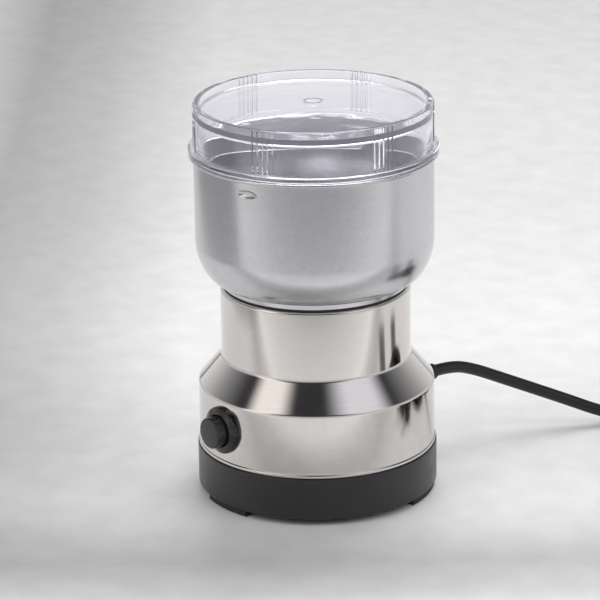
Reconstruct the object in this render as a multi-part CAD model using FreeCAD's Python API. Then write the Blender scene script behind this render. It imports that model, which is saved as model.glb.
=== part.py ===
import FreeCAD, Part
import math
import os

# An electric spice grinder, in millimetres, +Z up, feet on z = 0. The press button faces -Y and
# the cord leaves at +Y. Everything turned is drawn about its own axis, and export() then moves
# it back by AXIS_Y, so that the origin is the middle of the underside of the whole appliance.

# Overall sizes: the radii and heights that everything else is taken from
BAND_R = 49.8
NECK_R = 39.9
BOWL_R = 49.8
FEET_TALL = 2.5
BASE_TALL = 18.1
BAND_TALL = 27.2
SHOULDER_TALL = 11.6
NECK_TALL = 29.9
BOWL_TALL = 57.1
LID_TALL = 20.9

# Body shell: neck, sloping shoulder and band, drawn from one steel sheet
SHEET = 0.8
BAND_GAP = 0.1
NECK_TOP_ROUND = 1.5
CREASE_ROUND = 1.2
LEDGE_BORE_R = 27.0
HEM_OUT = 0.5
HEM_TALL = 1.5
BAND_BOTTOM_Z = FEET_TALL + BASE_TALL + BAND_GAP
SHOULDER_LOW_Z = BAND_BOTTOM_Z + BAND_TALL
SHOULDER_HIGH_Z = SHOULDER_LOW_Z + SHOULDER_TALL
NECK_TOP_Z = SHOULDER_HIGH_Z + NECK_TALL
LEDGE_LOW_Z = NECK_TOP_Z - SHEET

# Bowl: straight side, a wide bend, a tight heel and a stepped foot
GASKET_THICK = 0.9
FOOT_STEP = 0.9
FOOT_TALL = 2.2
BOWL_SIDE_ROUND = 23.6
BOWL_SIDE_TURN = 35.0
BOWL_HEEL_ROUND = 9.7
BOWL_HEEL_TURN = 80.0
BEAD_OUT = 2.0
BEAD_TALL = 1.6
DIMPLE_AZIMUTH = 19.0
DIMPLE_DROP = 6.5
DIMPLE_LONG = 10.0
DIMPLE_TALL = 3.6
DIMPLE_DEEP = 1.1
SEAL_HOLE_R = 9.0
FOOT_R = NECK_R - FOOT_STEP
FOOT_LOW_Z = NECK_TOP_Z + GASKET_THICK
BOWL_FLOOR_Z = FOOT_LOW_Z + SHEET
BOWL_TOP_Z = FOOT_LOW_Z + BOWL_TALL
BEAD_R = BOWL_R + BEAD_OUT
DIMPLE_Z = BOWL_TOP_Z - DIMPLE_DROP

# Lid: one clear moulding
LID_GAP = 0.2
LID_WALL_IN = 0.5
LID_WALL = 2.3
LID_FLANGE_OUT = 0.2
LID_FLANGE_THICK = 1.8
LID_LIP_LIFT = 0.6
PLATE_DEEP = 3.5
PLATE_THICK = 2.5
PLATE_RISE = 3.2
GATE_R = 4.1
GATE_DEEP = 0.35
SKIRT_CLEAR = 0.45
SKIRT_WALL = 1.9
SKIRT_TALL = 10.6
SLOT_CLEAR = 0.9
SLOT_LEG = 11.0
SLOT_LIP = 1.6
RIB_GROUPS = 6
RIBS_IN_GROUP = 5
RIB_FIRST_AZIMUTH = 27.0
RIB_STEP_DEG = 2.55
RIB_WIDE = 1.3
RIB_CREST = 0.6
RIB_PROUD = 0.5
LID_WALL_R = BOWL_R - LID_WALL_IN
LID_FLANGE_R = BEAD_R + LID_FLANGE_OUT
FLANGE_LOW_Z = BOWL_TOP_Z + LID_GAP
FLANGE_HIGH_Z = FLANGE_LOW_Z + LID_LIP_LIFT + LID_FLANGE_THICK
LID_TOP_Z = FLANGE_LOW_Z + LID_TALL
PLATE_EDGE_Z = LID_TOP_Z - PLATE_DEEP

# Base: moulded tray with air slots, and three feet
FOOT_AZIMUTHS = (0.0, 120.0, 240.0)
FOOT_SPAN_DEG = 29.0
FOOT_PAD_WIDE = 6.9
FOOT_PAD_INSET = 0.8
BASE_OUT = 0.9
BASE_WALL = 2.2
BASE_FLOOR = 2.0
BASE_EDGE_ROUND = 1.2
SPIGOT_TALL = 3.0
SPIGOT_CLEAR = 0.4
SPIGOT_WALL = 1.8
VENT_COUNT = 16
VENT_IN_R = 10.0
VENT_OUT_R = 24.0
VENT_WIDE = 2.6
BASE_BOSS_R = 4.6
BASE_SCREW_PCD_R = 33.0
BASE_SCREW_AZIMUTHS = (60.0, 180.0, 300.0)
SCREW_R = 1.9
SCREW_HOLE_CLEAR = 0.2
SCREW_HEAD_R = 3.5
SCREW_HEAD_TALL = 2.1
BASE_R = BAND_R + BASE_OUT
BASE_TOP_Z = FEET_TALL + BASE_TALL
BASE_FLOOR_Z = FEET_TALL + BASE_FLOOR
FOOT_PAD_OUT_R = BASE_R - FOOT_PAD_INSET
FOOT_PAD_IN_R = FOOT_PAD_OUT_R - FOOT_PAD_WIDE

# Push button and its switch; depths are counted inwards from the band's outside
BUTTON_UP = 14.9
CAP_R = 6.6
CAP_CLEAR = 0.3
CAP_OUT = 7.5
CAP_COLLAR_OUT = 0.8
CAP_COLLAR_THICK = 1.5
CAP_COLLAR_CLEAR = 0.25
CAP_CROWN = 0.7
BARREL_WALL = 0.85
BARREL_HOLE_CLEAR = 0.2
BEZEL_LIP = 1.6
BEZEL_OUT = 2.6
BUTTON_TRAVEL = 3.0
CATCH_DEEP = 1.2
BARREL_DEEP = 11.8
BARREL_FLOOR = 1.2
STEM_R = 3.0
STEM_CLEAR = 0.7
STEM_PAST = 1.6
BRIDGE_THICK = 0.8
BRIDGE_WIDE = 10.0
CONTACT_CLEAR = 0.3
SWITCH_BOX_WIDE = 17.0
SWITCH_BOX_TALL = 14.0
SWITCH_BOX_DEEP = 9.0
SWITCH_BOX_WALL = 1.3
TERMINAL_LONG = 5.0
NUT_THICK = 3.0
NUT_WALL = 1.5
NUT_WAY = 0.3
SPRING_R = 5.2
SPRING_WIRE = 0.35
SPRING_TURNS = 4
BUTTON_Z = BAND_BOTTOM_Z + BUTTON_UP
CAP_COLLAR_R = CAP_R + CAP_COLLAR_OUT
BARREL_R = CAP_COLLAR_R + CAP_COLLAR_CLEAR + BARREL_WALL
BEZEL_R = BARREL_R + BEZEL_LIP
NUT_CORNER_R = 2 * (BARREL_R + NUT_WALL) / math.sqrt(3)
BEZEL_FACE_R = BAND_R + BEZEL_OUT
CAP_FACE_R = BAND_R + CAP_OUT
CATCH_R = BAND_R - CATCH_DEEP
BARREL_END_R = BAND_R - BARREL_DEEP

# Motor: upper half hung below the ledge, lower half standing on the base's bosses
RUNNING_CLEAR = 0.05
SHAFT_R = 4.0
SHAFT_LOW_R = 2.5
SHAFT_TIP_R = 3.0
SHAFT_TIP_LONG = 7.0
SHAFT_STEP_UP = 2.5
SHAFT_PAST_FAN = 1.0
STACK_DROP = 19.6
STACK_TALL = 22.0
STATOR_R = 27.0
STATOR_FLAT = 24.0
STATOR_BORE_R = 14.9
POLE_TIP = 1.4
YOKE = 4.4
POLE_HALF = 11.2
POLE_GAP_HALF = 3.0
COIL_CLEAR = 0.3
COIL_PROUD = 4.6
AIR_GAP = 0.5
ARMATURE_SLOTS = 10
SLOT_INSET = 2.8
SLOT_R = 1.9
WINDING_INSET = 1.6
WINDING_CLEAR = 1.4
WINDING_PROUD = 5.0
WINDING_SLOPE = 1.5
COMMUTATOR_R = 9.5
COMMUTATOR_TALL = 8.4
COMMUTATOR_GAP = 0.1
COMMUTATOR_BARS = 10
TIE_INSET = 2.2
TIE_AZIMUTHS = (45.0, 135.0, 225.0, 315.0)
PILLAR_R = 2.4
TIE_SCREW_R = 1.4
CARRIER_CLEAR = 0.3
CARRIER_THICK = 2.6
DAMPER_THICK = 1.6
DAMPER_R = 5.2
BOWL_SCREW_PCD_R = 33.0
BOWL_SCREW_AZIMUTHS = (0.0, 120.0, 240.0)
BOWL_SCREW_LONG = 17.0
CARRIER_BOSS_R = 4.2
CARRIER_BOSS_TALL = 11.0
BUSH_R = 7.5
BUSH_TALL = 7.0
BUSH_SEAT_WALL = 3.5
LOW_BUSH_R = 5.8
LOW_BUSH_TALL = 6.5
BUSH_COVER = 1.0
BRACKET_UP = 19.5
BRACKET_THICK = 3.5
BRACKET_OUT = 0.5
BRACKET_LEG_R = 4.6
BRUSH_WIDE = 5.0
BRUSH_TALL = 6.4
BRUSH_LONG = 10.5
BRUSH_DROP = 4.7
HOLDER_WALL = 0.8
HOLDER_CLEAR = 1.9
HOLDER_LONG = 16.0
BRUSH_CLEAR = 0.15
BRUSH_SPRING_R = 1.9
BRUSH_SPRING_WIRE = 0.3
BRUSH_SPRING_TURNS = 3
FAN_R = 23.0
FAN_UP = 5.0
FAN_TALL = 7.3
FAN_DISC = 1.2
FAN_BLADES = 9
FAN_BLADE_THICK = 1.2
FAN_HUB_R = 5.2
CARRIER_R = NECK_R - SHEET - CARRIER_CLEAR
CARRIER_HIGH_Z = LEDGE_LOW_Z - DAMPER_THICK
CARRIER_LOW_Z = CARRIER_HIGH_Z - CARRIER_THICK
STACK_HIGH_Z = LEDGE_LOW_Z - STACK_DROP
STACK_LOW_Z = STACK_HIGH_Z - STACK_TALL
ARMATURE_R = STATOR_BORE_R - AIR_GAP
SLOT_MID_R = ARMATURE_R - SLOT_INSET
WINDING_OUT_R = ARMATURE_R - WINDING_INSET
WINDING_IN_R = SHAFT_R + WINDING_CLEAR
TIE_R = STATOR_R - TIE_INSET
BRACKET_R = STATOR_R + BRACKET_OUT
COMMUTATOR_HIGH_Z = STACK_LOW_Z - WINDING_PROUD - COMMUTATOR_GAP
COMMUTATOR_LOW_Z = COMMUTATOR_HIGH_Z - COMMUTATOR_TALL
BRUSH_Z = COMMUTATOR_HIGH_Z - BRUSH_DROP
HOLDER_IN_R = COMMUTATOR_R + HOLDER_CLEAR
HOLDER_OUT_R = HOLDER_IN_R + HOLDER_LONG
BRACKET_Z = BASE_FLOOR_Z + BRACKET_UP
BRACKET_TOP_Z = BRACKET_Z + BRACKET_THICK
SHAFT_STEP_Z = BRACKET_TOP_Z + SHAFT_STEP_UP
FAN_LOW_Z = BASE_FLOOR_Z + FAN_UP
FAN_HIGH_Z = FAN_LOW_Z + FAN_TALL
SHAFT_BOTTOM_Z = FAN_LOW_Z - SHAFT_PAST_FAN

# Shaft seal and blade
SEAL_FLANGE_R = 12.0
SEAL_FLANGE_THICK = 1.5
SEAL_CLEAR = 0.08
COLLAR_R = 8.0
COLLAR_TALL = 2.4
COLLAR_CLEAR = 1.0
BLADE_REACH = 36.0
BLADE_THICK = 1.5
BLADE_ROOT_WIDE = 14.0
BLADE_TIP_WIDE = 10.5
BLADE_HUB_R = 8.5
BLADE_PITCH = 9.0
BLADE_UP = 13.0
BLADE_BEVEL = 2.6
BLADE_TWIST_LONG = 6.0
NUT_R = 5.2
BLADE_NUT_TALL = 5.0
WASHER_R = 6.2
WASHER_THICK = 1.0
SHAFT_SHOULDER_Z = BOWL_FLOOR_Z + SEAL_FLANGE_THICK + COLLAR_CLEAR + COLLAR_TALL
SHAFT_TIP_Z = SHAFT_SHOULDER_Z + SHAFT_TIP_LONG

# Mains cord: 5.2 mm round lead
CORD_UP = 13.7
CORD_R = 2.6
RELIEF_REACH = 15.0
RELIEF_TIP_WALL = 0.8
RELIEF_NECK_WALL = 1.8
RELIEF_ROOT_WALL = 2.3
RELIEF_FLANGE_WALL = 4.0
RELIEF_FLANGE_THICK = 1.7
RELIEF_INSIDE = 5.5
RELIEF_GROOVES = 4
CORD_TAIL_LONG = 8.0
CLAMP_DEPTH = 10.3
CLAMP_WIDE = 24.0
CLAMP_DEEP = 6.0
CLAMP_BAR = 3.0
CLAMP_POST_OUT = 5.9
CLAMP_POST_R = 3.0
CLAMP_SCREW_R = 1.2
CORD_Z = BAND_BOTTOM_Z + CORD_UP
CLAMP_Y = BAND_R - CLAMP_DEPTH
CLAMP_POST_X = CORD_R + CLAMP_POST_OUT
CORD_HOLE_R = CORD_R + RELIEF_NECK_WALL
RELIEF_TIP_R = CORD_R + RELIEF_TIP_WALL
RELIEF_ROOT_R = CORD_R + RELIEF_ROOT_WALL
RELIEF_FLANGE_R = CORD_R + RELIEF_FLANGE_WALL

# The lead's route, from the strain relief over the table to the coil
CORD_ROUTE = [
    (0.0, 64.8, 34.4),
    (0.0, 75.5, 34.4),
    (1.8, 86.5, 30.8),
    (6.0, 98.5, 25.0),
    (12.5, 112.0, 18.6),
    (20.5, 125.5, 12.2),
    (28.5, 138.0, 6.0),
    (36.5, 149.5, 2.9),
    (45.5, 160.0, 2.7),
    (54.6, 169.2, 2.7),
]

# Put-away coil: in along the table, up a layer, out again
COIL_OUT_R = 27.0
COIL_PITCH = 2 * CORD_R + 0.6
COIL_CLIMB_STEP = 4.0
COIL_LAYER = 2 * CORD_R + 0.8
COIL_END_DROP = 1.05
COIL_IN_HALF_TURNS = 4
COIL_OUT_HALF_TURNS = 5
COIL_END_TURN_DEG = 135.0

# Two-pin plug
PLUG_WIDE = 35.3
PLUG_THICK = 13.7
PLUG_CORNER = 3.6
PLUG_FACE_LONG = 14.0
PLUG_SHOULDER_LONG = 11.0
PLUG_GRIP_LONG = 7.0
PLUG_GRIP_WIDE = 14.0
PLUG_GRIP_THICK = 11.5
PLUG_RELIEF_LONG = 20.0
PLUG_RELIEF_GROOVES = 4
PIN_SPACING = 18.6
PIN_R = 2.0
PIN_LONG = 19.0

# The distance from the turned parts' axis to the appliance's own middle
AXIS_Y = (CAP_FACE_R - LID_FLANGE_R) / 2
FULL_TURN = 360.0
X_AXIS = FreeCAD.Vector(1, 0, 0)
Y_AXIS = FreeCAD.Vector(0, 1, 0)
Z_AXIS = FreeCAD.Vector(0, 0, 1)
ORIGIN = FreeCAD.Vector(0, 0, 0)


def vec(x, y, z=0.0):
    return FreeCAD.Vector(x, y, z)


def polar(radius, azimuth, z=0.0):
    """A point at an azimuth counted from -Y towards +X, as seen from above."""
    angle = math.radians(azimuth)
    return vec(radius * math.sin(angle), -radius * math.cos(angle), z)


def turned(shape, azimuth):
    """A copy of a shape drawn at -Y, turned to an azimuth."""
    copy = shape.copy()
    copy.rotate(ORIGIN, Z_AXIS, azimuth)
    return copy


def around(shape, azimuths):
    return [turned(shape, azimuth) for azimuth in azimuths]


def join(shapes):
    """One solid from shapes that overlap or share faces."""
    whole = shapes[0].fuse(list(shapes[1:]))
    return whole.removeSplitter()


def rounded_corner(before, corner, after, radius):
    """Start, middle and end of the arc that rounds a corner."""
    back = (before - corner).normalize()
    ahead = (after - corner).normalize()
    half = back.getAngle(ahead) / 2
    reach = radius / math.tan(half)
    centre = corner + (back + ahead).normalize() * (radius / math.sin(half))
    middle = centre + (corner - centre).normalize() * radius
    return corner + back * reach, middle, corner + ahead * reach


def outline(points):
    """A closed wire in the XZ plane through (r, z) points; a third number rounds that corner."""
    corners = [vec(p[0], 0, p[1]) for p in points]
    rounds = [p[2] if len(p) > 2 else 0 for p in points]
    edges = []
    marks = []
    for i, corner in enumerate(corners):
        if rounds[i]:
            after = corners[(i + 1) % len(corners)]
            marks.append(rounded_corner(corners[i - 1], corner, after, rounds[i]))
        else:
            marks.append((corner, None, corner))
    for i, (start, middle, end) in enumerate(marks):
        if middle:
            edges.append(Part.Arc(start, middle, end).toShape())
        following = marks[(i + 1) % len(marks)][0]
        if (following - end).Length > 1e-6:
            edges.append(Part.LineSegment(end, following).toShape())
    return Part.Wire(edges)


def revolve(points):
    """A turned solid from an outline of (r, z) points."""
    return Part.Face(outline(points)).revolve(ORIGIN, Z_AXIS, FULL_TURN)


def disc(radius, low, high, at=ORIGIN):
    return Part.makeCylinder(radius, high - low, at + vec(0, 0, low))


def ring(inner, outer, low, high, at=ORIGIN):
    return disc(outer, low, high, at).cut(disc(inner, low - 1, high + 1, at))


def block(x_low, x_high, y_low, y_high, z_low, z_high):
    size = (x_high - x_low, y_high - y_low, z_high - z_low)
    return Part.makeBox(*size, vec(x_low, y_low, z_low))


def rod_y(radius, y_low, y_high, z, x=0.0):
    return Part.makeCylinder(radius, y_high - y_low, vec(x, y_low, z), Y_AXIS)


def turned_about_y(points, z):
    """A solid turned about a line along Y at height z, from (r, y) points."""
    solid = revolve(points)
    solid.rotate(ORIGIN, X_AXIS, -90)
    solid.translate(vec(0, 0, z))
    return solid


def hexagon(flats, low, high):
    """A hexagonal prism about Z."""
    reach = flats / math.sqrt(3)
    corners = [polar(reach, 60.0 * i, low) for i in range(7)]
    return Part.Face(Part.makePolygon(corners)).extrude(vec(0, 0, high - low))


def arc_on(start, heading, end):
    """The arc from start, leaving along heading, to end, and its heading there."""
    chord = end - start
    half = heading.getAngle(chord)
    side = (chord - heading * chord.dot(heading)).normalize()
    radius = chord.Length / (2 * math.sin(half))
    centre = start + side * radius
    middle = centre - side * (radius * math.cos(half)) + heading * (radius * math.sin(half))
    after = heading * math.cos(2 * half) + side * math.sin(2 * half)
    return Part.Arc(start, middle, end).toShape(), after, radius


def soft_path(points):
    """Straight runs joined by arcs as large as the runs allow, and the arcs' radii."""
    edges = []
    radii = []
    last = points[0]
    for before, corner, after in zip(points, points[1:], points[2:]):
        half_turn = (corner - before).getAngle(after - corner) / 2
        shorter = min((corner - before).Length, (after - corner).Length)
        radius = 0.45 * shorter / math.tan(half_turn)
        start, middle, end = rounded_corner(before, corner, after, radius)
        edges.append(Part.LineSegment(last, start).toShape())
        edges.append(Part.Arc(start, middle, end).toShape())
        radii.append(radius)
        last = end
    edges.append(Part.LineSegment(last, points[-1]).toShape())
    return Part.Wire(edges), radii


def swept(path, radius):
    """A round tube along a path."""
    first = path.OrderedEdges[0]
    start = first.valueAt(first.FirstParameter)
    heading = first.tangentAt(first.FirstParameter)
    circle = Part.Wire(Part.Circle(start, heading, radius).toShape())
    return path.makePipeShell([circle], True, False)


def export(name, *solids):
    """Write one sub-part, moved from its own axis to the appliance's origin."""
    shape = solids[0] if len(solids) == 1 else Part.makeCompound(list(solids))
    moved = shape.copy()
    moved.translate(vec(0, AXIS_Y, 0))
    moved.exportStep("parts/" + name + ".step")


# Body shell

def shell_line(inset):
    """The sheet's line from the hem to the neck's ledge, inset from the outside."""
    slope = math.atan2(BAND_R - NECK_R, SHOULDER_HIGH_Z - SHOULDER_LOW_Z)
    drop = inset * math.tan(slope / 2)
    crease = CREASE_ROUND
    return [
        (BAND_R - inset, SHOULDER_LOW_Z - drop, crease),
        (NECK_R - inset, SHOULDER_HIGH_Z - drop, crease),
        (NECK_R - inset, NECK_TOP_Z - inset, NECK_TOP_ROUND - inset),
    ]


def body_shell():
    """Neck, shoulder and band in one sheet, with a hem below and a ledge inside the neck."""
    hem_top = BAND_BOTTOM_Z + HEM_TALL
    outside = [
        (BAND_R + HEM_OUT, BAND_BOTTOM_Z, HEM_TALL / 3),
        (BAND_R + HEM_OUT, hem_top, HEM_TALL / 3),
        (BAND_R, hem_top),
    ] + shell_line(0.0)
    ledge = [(LEDGE_BORE_R, NECK_TOP_Z), (LEDGE_BORE_R, LEDGE_LOW_Z)]
    inside = list(reversed(shell_line(SHEET))) + [(BAND_R - SHEET, BAND_BOTTOM_Z)]
    shell = revolve(outside + ledge + inside)
    button_hole = rod_y(BARREL_R + BARREL_HOLE_CLEAR, -BAND_R - 5, -BAND_R + 12, BUTTON_Z)
    cord_hole = rod_y(CORD_HOLE_R, BAND_R - 12, BAND_R + 5, CORD_Z)
    screw_hole = disc(SCREW_R + SCREW_HOLE_CLEAR, LEDGE_LOW_Z - 1, NECK_TOP_Z + 1,
                      polar(BOWL_SCREW_PCD_R, 0))
    return shell.cut([button_hole, cord_hole] + around(screw_hole, BOWL_SCREW_AZIMUTHS))


# Bowl

def bowl_bends():
    """Centre, radius, start and end angle of the side's wide bend and of the heel."""
    side = math.radians(BOWL_SIDE_TURN)
    heel = math.radians(BOWL_HEEL_TURN)
    fall = BOWL_SIDE_ROUND * math.sin(side) + BOWL_HEEL_ROUND * (math.sin(heel) - math.sin(side))
    wide_centre = vec(BOWL_R - BOWL_SIDE_ROUND, 0, FOOT_LOW_Z + FOOT_TALL + fall)
    shift = BOWL_SIDE_ROUND - BOWL_HEEL_ROUND
    heel_centre = wide_centre + vec(shift * math.cos(side), 0, -shift * math.sin(side))
    return [(wide_centre, BOWL_SIDE_ROUND, 0.0, side), (heel_centre, BOWL_HEEL_ROUND, side, heel)]


def bowl_bend_edges(inset):
    """The two bends as arcs, from the side down to the foot, inset from the outside."""
    edges = []
    for centre, radius, start, end in bowl_bends():
        reach = radius - inset
        marks = [centre + vec(reach * math.cos(a), 0, -reach * math.sin(a))
                 for a in (start, (start + end) / 2, end)]
        edges.append(Part.Arc(*marks).toShape())
    return edges


def path_through(start, points):
    """Lines from a point through (r, z) points."""
    edges = []
    for r, z in points:
        following = vec(r, 0, z)
        edges.append(Part.LineSegment(start, following).toShape())
        start = following
    return edges


def bowl_sheet():
    """The turned bowl: rolled rim, side, heel, stepped foot and floor."""
    outer = bowl_bend_edges(0.0)
    inner = bowl_bend_edges(SHEET)
    outer_top = outer[0].firstVertex().Point
    outer_end = outer[-1].lastVertex().Point
    inner_top = inner[0].firstVertex().Point
    inner_end = inner[-1].lastVertex().Point
    down = [(FOOT_R, FOOT_LOW_Z + FOOT_TALL), (FOOT_R, FOOT_LOW_Z), (SEAL_HOLE_R, FOOT_LOW_Z),
            (SEAL_HOLE_R, BOWL_FLOOR_Z), (FOOT_R - SHEET, BOWL_FLOOR_Z),
            (FOOT_R - SHEET, inner_end.z), (inner_end.x, inner_end.z)]
    chamfer = BEAD_TALL / 4
    rim = [(BOWL_R - SHEET, BOWL_TOP_Z), (BEAD_R - chamfer, BOWL_TOP_Z),
           (BEAD_R, BOWL_TOP_Z - chamfer), (BEAD_R, BOWL_TOP_Z - BEAD_TALL + chamfer),
           (BEAD_R - chamfer, BOWL_TOP_Z - BEAD_TALL), (BOWL_R, BOWL_TOP_Z - BEAD_TALL),
           (BOWL_R, outer_top.z)]
    edges = outer + path_through(outer_end, down) + inner + path_through(inner_top, rim)
    face = Part.Face(Part.Wire(Part.sortEdges(edges)[0]))
    return face.revolve(ORIGIN, Z_AXIS, FULL_TURN)


def dimple_block(grow, near_r, far_r):
    """A lying stadium through the side at -Y, between two radii."""
    half_tall = DIMPLE_TALL / 2 + grow
    straight = DIMPLE_LONG / 2 - DIMPLE_TALL / 2
    ends = [rod_y(half_tall, -far_r, -near_r, DIMPLE_Z, x) for x in (-straight, straight)]
    middle = block(-straight, straight, -far_r, -near_r, DIMPLE_Z - half_tall, DIMPLE_Z + half_tall)
    return join([middle] + ends)


def bowl():
    """The bowl with two dimples pressed inwards, and its floor holes."""
    side_in_r = BOWL_R - SHEET
    bump = dimple_block(0.0, side_in_r - DIMPLE_DEEP, BOWL_R - SHEET / 2)
    pocket = dimple_block(-SHEET / 2, BOWL_R - DIMPLE_DEEP - 0.3, BOWL_R + 3)
    azimuths = (DIMPLE_AZIMUTH, DIMPLE_AZIMUTH + 180)
    body = bowl_sheet().fuse(around(bump, azimuths))
    screw_hole = disc(SCREW_R + SCREW_HOLE_CLEAR, FOOT_LOW_Z - 1, BOWL_FLOOR_Z + 1,
                      polar(BOWL_SCREW_PCD_R, 0))
    holes = around(screw_hole, BOWL_SCREW_AZIMUTHS)
    return body.cut(around(pocket, azimuths) + holes)


def bowl_gasket():
    """Flat rubber ring between the bowl's foot and the neck's ledge."""
    gasket = ring(LEDGE_BORE_R, FOOT_R - 0.4, NECK_TOP_Z, FOOT_LOW_Z)
    hole = disc(SCREW_R + SCREW_HOLE_CLEAR, NECK_TOP_Z - 1, FOOT_LOW_Z + 1, polar(BOWL_SCREW_PCD_R, 0))
    return gasket.cut(around(hole, BOWL_SCREW_AZIMUTHS))


def pan_screw(radius, length, head_z):
    """A screw pointing down, its head standing on head_z, with a cross recess."""
    head = revolve([(0, head_z), (SCREW_HEAD_R, head_z),
                    (SCREW_HEAD_R, head_z + SCREW_HEAD_TALL / 2),
                    (SCREW_HEAD_R * 0.7, head_z + SCREW_HEAD_TALL), (0, head_z + SCREW_HEAD_TALL)])
    shank = disc(radius, head_z - length, head_z)
    top = head_z + SCREW_HEAD_TALL
    reach = SCREW_HEAD_R * 0.6
    slots = [block(-reach, reach, -0.4, 0.4, top - 1, top + 1),
             block(-0.4, 0.4, -reach, reach, top - 1, top + 1)]
    return join([head, shank]).cut(slots)


def bowl_screws():
    screw = pan_screw(SCREW_R, BOWL_SCREW_LONG, BOWL_FLOOR_Z)
    screw.translate(polar(BOWL_SCREW_PCD_R, 0))
    return around(screw, BOWL_SCREW_AZIMUTHS)


def shaft_seal():
    """Rubber seal in the bowl's floor, flanged on top, with a groove below for the sheet."""
    low = LEDGE_LOW_Z
    top = BOWL_FLOOR_Z + SEAL_FLANGE_THICK
    bore = SHAFT_R + SEAL_CLEAR
    return revolve([(bore, low), (SEAL_HOLE_R - 0.1, low), (SEAL_HOLE_R - 0.1, BOWL_FLOOR_Z),
                    (SEAL_FLANGE_R, BOWL_FLOOR_Z), (SEAL_FLANGE_R, top - 0.7, 0.6),
                    (COLLAR_R + 1.2, top, 0.4), (bore, top)])


# Lid

def dome_arc(edge_r, top_z):
    """The plate's arc from the axis at top_z out to edge_r, PLATE_RISE lower."""
    dome_r = (edge_r ** 2 + PLATE_RISE ** 2) / (2 * PLATE_RISE)
    edge = math.asin(edge_r / dome_r)
    marks = [vec(dome_r * math.sin(a), 0, top_z - dome_r * (1 - math.cos(a)))
             for a in (0, edge / 2, edge)]
    return Part.Arc(*marks).toShape()


def lid_wall():
    """Rim, recessed and gently domed plate, wall, flange and skirt, turned in one."""
    wall_in = LID_WALL_R - LID_WALL
    skirt_out = BOWL_R - SHEET - SKIRT_CLEAR
    skirt_in = skirt_out - SKIRT_WALL
    skirt_low = FLANGE_LOW_Z - SKIRT_TALL
    plate_low = PLATE_EDGE_Z - PLATE_THICK
    dome_z = PLATE_EDGE_Z + PLATE_RISE
    top_arc = dome_arc(wall_in, dome_z)
    low_arc = dome_arc(wall_in, dome_z - PLATE_THICK)
    inside = path_through(vec(wall_in, 0, plate_low), [
        (wall_in, FLANGE_LOW_Z + 2), (skirt_in, FLANGE_LOW_Z), (skirt_in, skirt_low),
        (skirt_out - 0.5, skirt_low), (skirt_out, skirt_low + 0.5), (skirt_out, FLANGE_LOW_Z),
        (BEAD_R - 0.8, FLANGE_LOW_Z), (BEAD_R - 0.8 + LID_LIP_LIFT, FLANGE_LOW_Z + LID_LIP_LIFT),
        (LID_FLANGE_R, FLANGE_LOW_Z + LID_LIP_LIFT), (LID_FLANGE_R, FLANGE_HIGH_Z - 0.5),
        (LID_FLANGE_R - 0.5, FLANGE_HIGH_Z), (LID_WALL_R, FLANGE_HIGH_Z),
        (LID_WALL_R, LID_TOP_Z - 0.5), (LID_WALL_R - 0.5, LID_TOP_Z),
        (wall_in + 0.5, LID_TOP_Z), (wall_in, LID_TOP_Z - 0.5), (wall_in, PLATE_EDGE_Z)])
    axis = Part.LineSegment(vec(0, 0, dome_z), vec(0, 0, dome_z - PLATE_THICK)).toShape()
    edges = [top_arc, axis, low_arc] + inside
    face = Part.Face(Part.Wire(Part.sortEdges(edges)[0]))
    return face.revolve(ORIGIN, Z_AXIS, FULL_TURN)


def lid_ribs():
    """Fine upright ribs in groups round the wall."""
    low, high = FLANGE_HIGH_Z - 0.5, LID_TOP_Z - 0.6
    foot_y, crest_y = -LID_WALL_R + 0.3, -LID_WALL_R - RIB_PROUD
    section = Part.Face(Part.makePolygon([
        vec(-RIB_WIDE / 2, foot_y, low), vec(RIB_WIDE / 2, foot_y, low),
        vec(RIB_CREST / 2, crest_y, low), vec(-RIB_CREST / 2, crest_y, low),
        vec(-RIB_WIDE / 2, foot_y, low)]))
    rib = section.extrude(vec(0, 0, high - low))
    ribs = []
    for group in range(RIB_GROUPS):
        middle = RIB_FIRST_AZIMUTH + group * FULL_TURN / RIB_GROUPS
        for i in range(RIBS_IN_GROUP):
            ribs.append(turned(rib, middle + (i - (RIBS_IN_GROUP - 1) / 2) * RIB_STEP_DEG))
    return ribs


def lid_slot():
    """An L through the skirt: a way in for the dimple, and a leg above a lip that holds it."""
    half = DIMPLE_LONG / 2 + SLOT_CLEAR
    high = DIMPLE_Z + DIMPLE_TALL / 2 + SLOT_CLEAR
    low = FLANGE_LOW_Z - SKIRT_TALL
    near, far = -BOWL_R, -BOWL_R + SKIRT_WALL + 8
    entry = block(-half, half, near, far, low - 1, high)
    leg = block(half - 1, half + SLOT_LEG, near, far, low + SLOT_LIP, high)
    return entry.fuse(leg)


def lid():
    body = lid_wall().fuse(lid_ribs())
    slots = around(lid_slot(), (DIMPLE_AZIMUTH, DIMPLE_AZIMUTH + 180))
    top = PLATE_EDGE_Z + PLATE_RISE
    gate = ring(GATE_R - 0.7, GATE_R, top - GATE_DEEP, top + 1)
    return body.cut(slots + [gate])


# Base

def base_tray():
    """Outer wall, floor and the spigot that stands inside the band."""
    low = FEET_TALL
    spigot_out = BAND_R - SHEET - SPIGOT_CLEAR
    spigot_in = spigot_out - SPIGOT_WALL
    inner = BASE_R - BASE_WALL
    return revolve([(0, low), (BASE_R, low, BASE_EDGE_ROUND), (BASE_R, BASE_TOP_Z, 0.5),
                    (spigot_out, BASE_TOP_Z), (spigot_out, BASE_TOP_Z + SPIGOT_TALL, 0.6),
                    (spigot_in, BASE_TOP_Z + SPIGOT_TALL), (spigot_in, BASE_TOP_Z - 3),
                    (inner - 0.5, BASE_TOP_Z - 4), (inner - 0.5, low + BASE_FLOOR, 1.0),
                    (0, low + BASE_FLOOR)])


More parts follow.
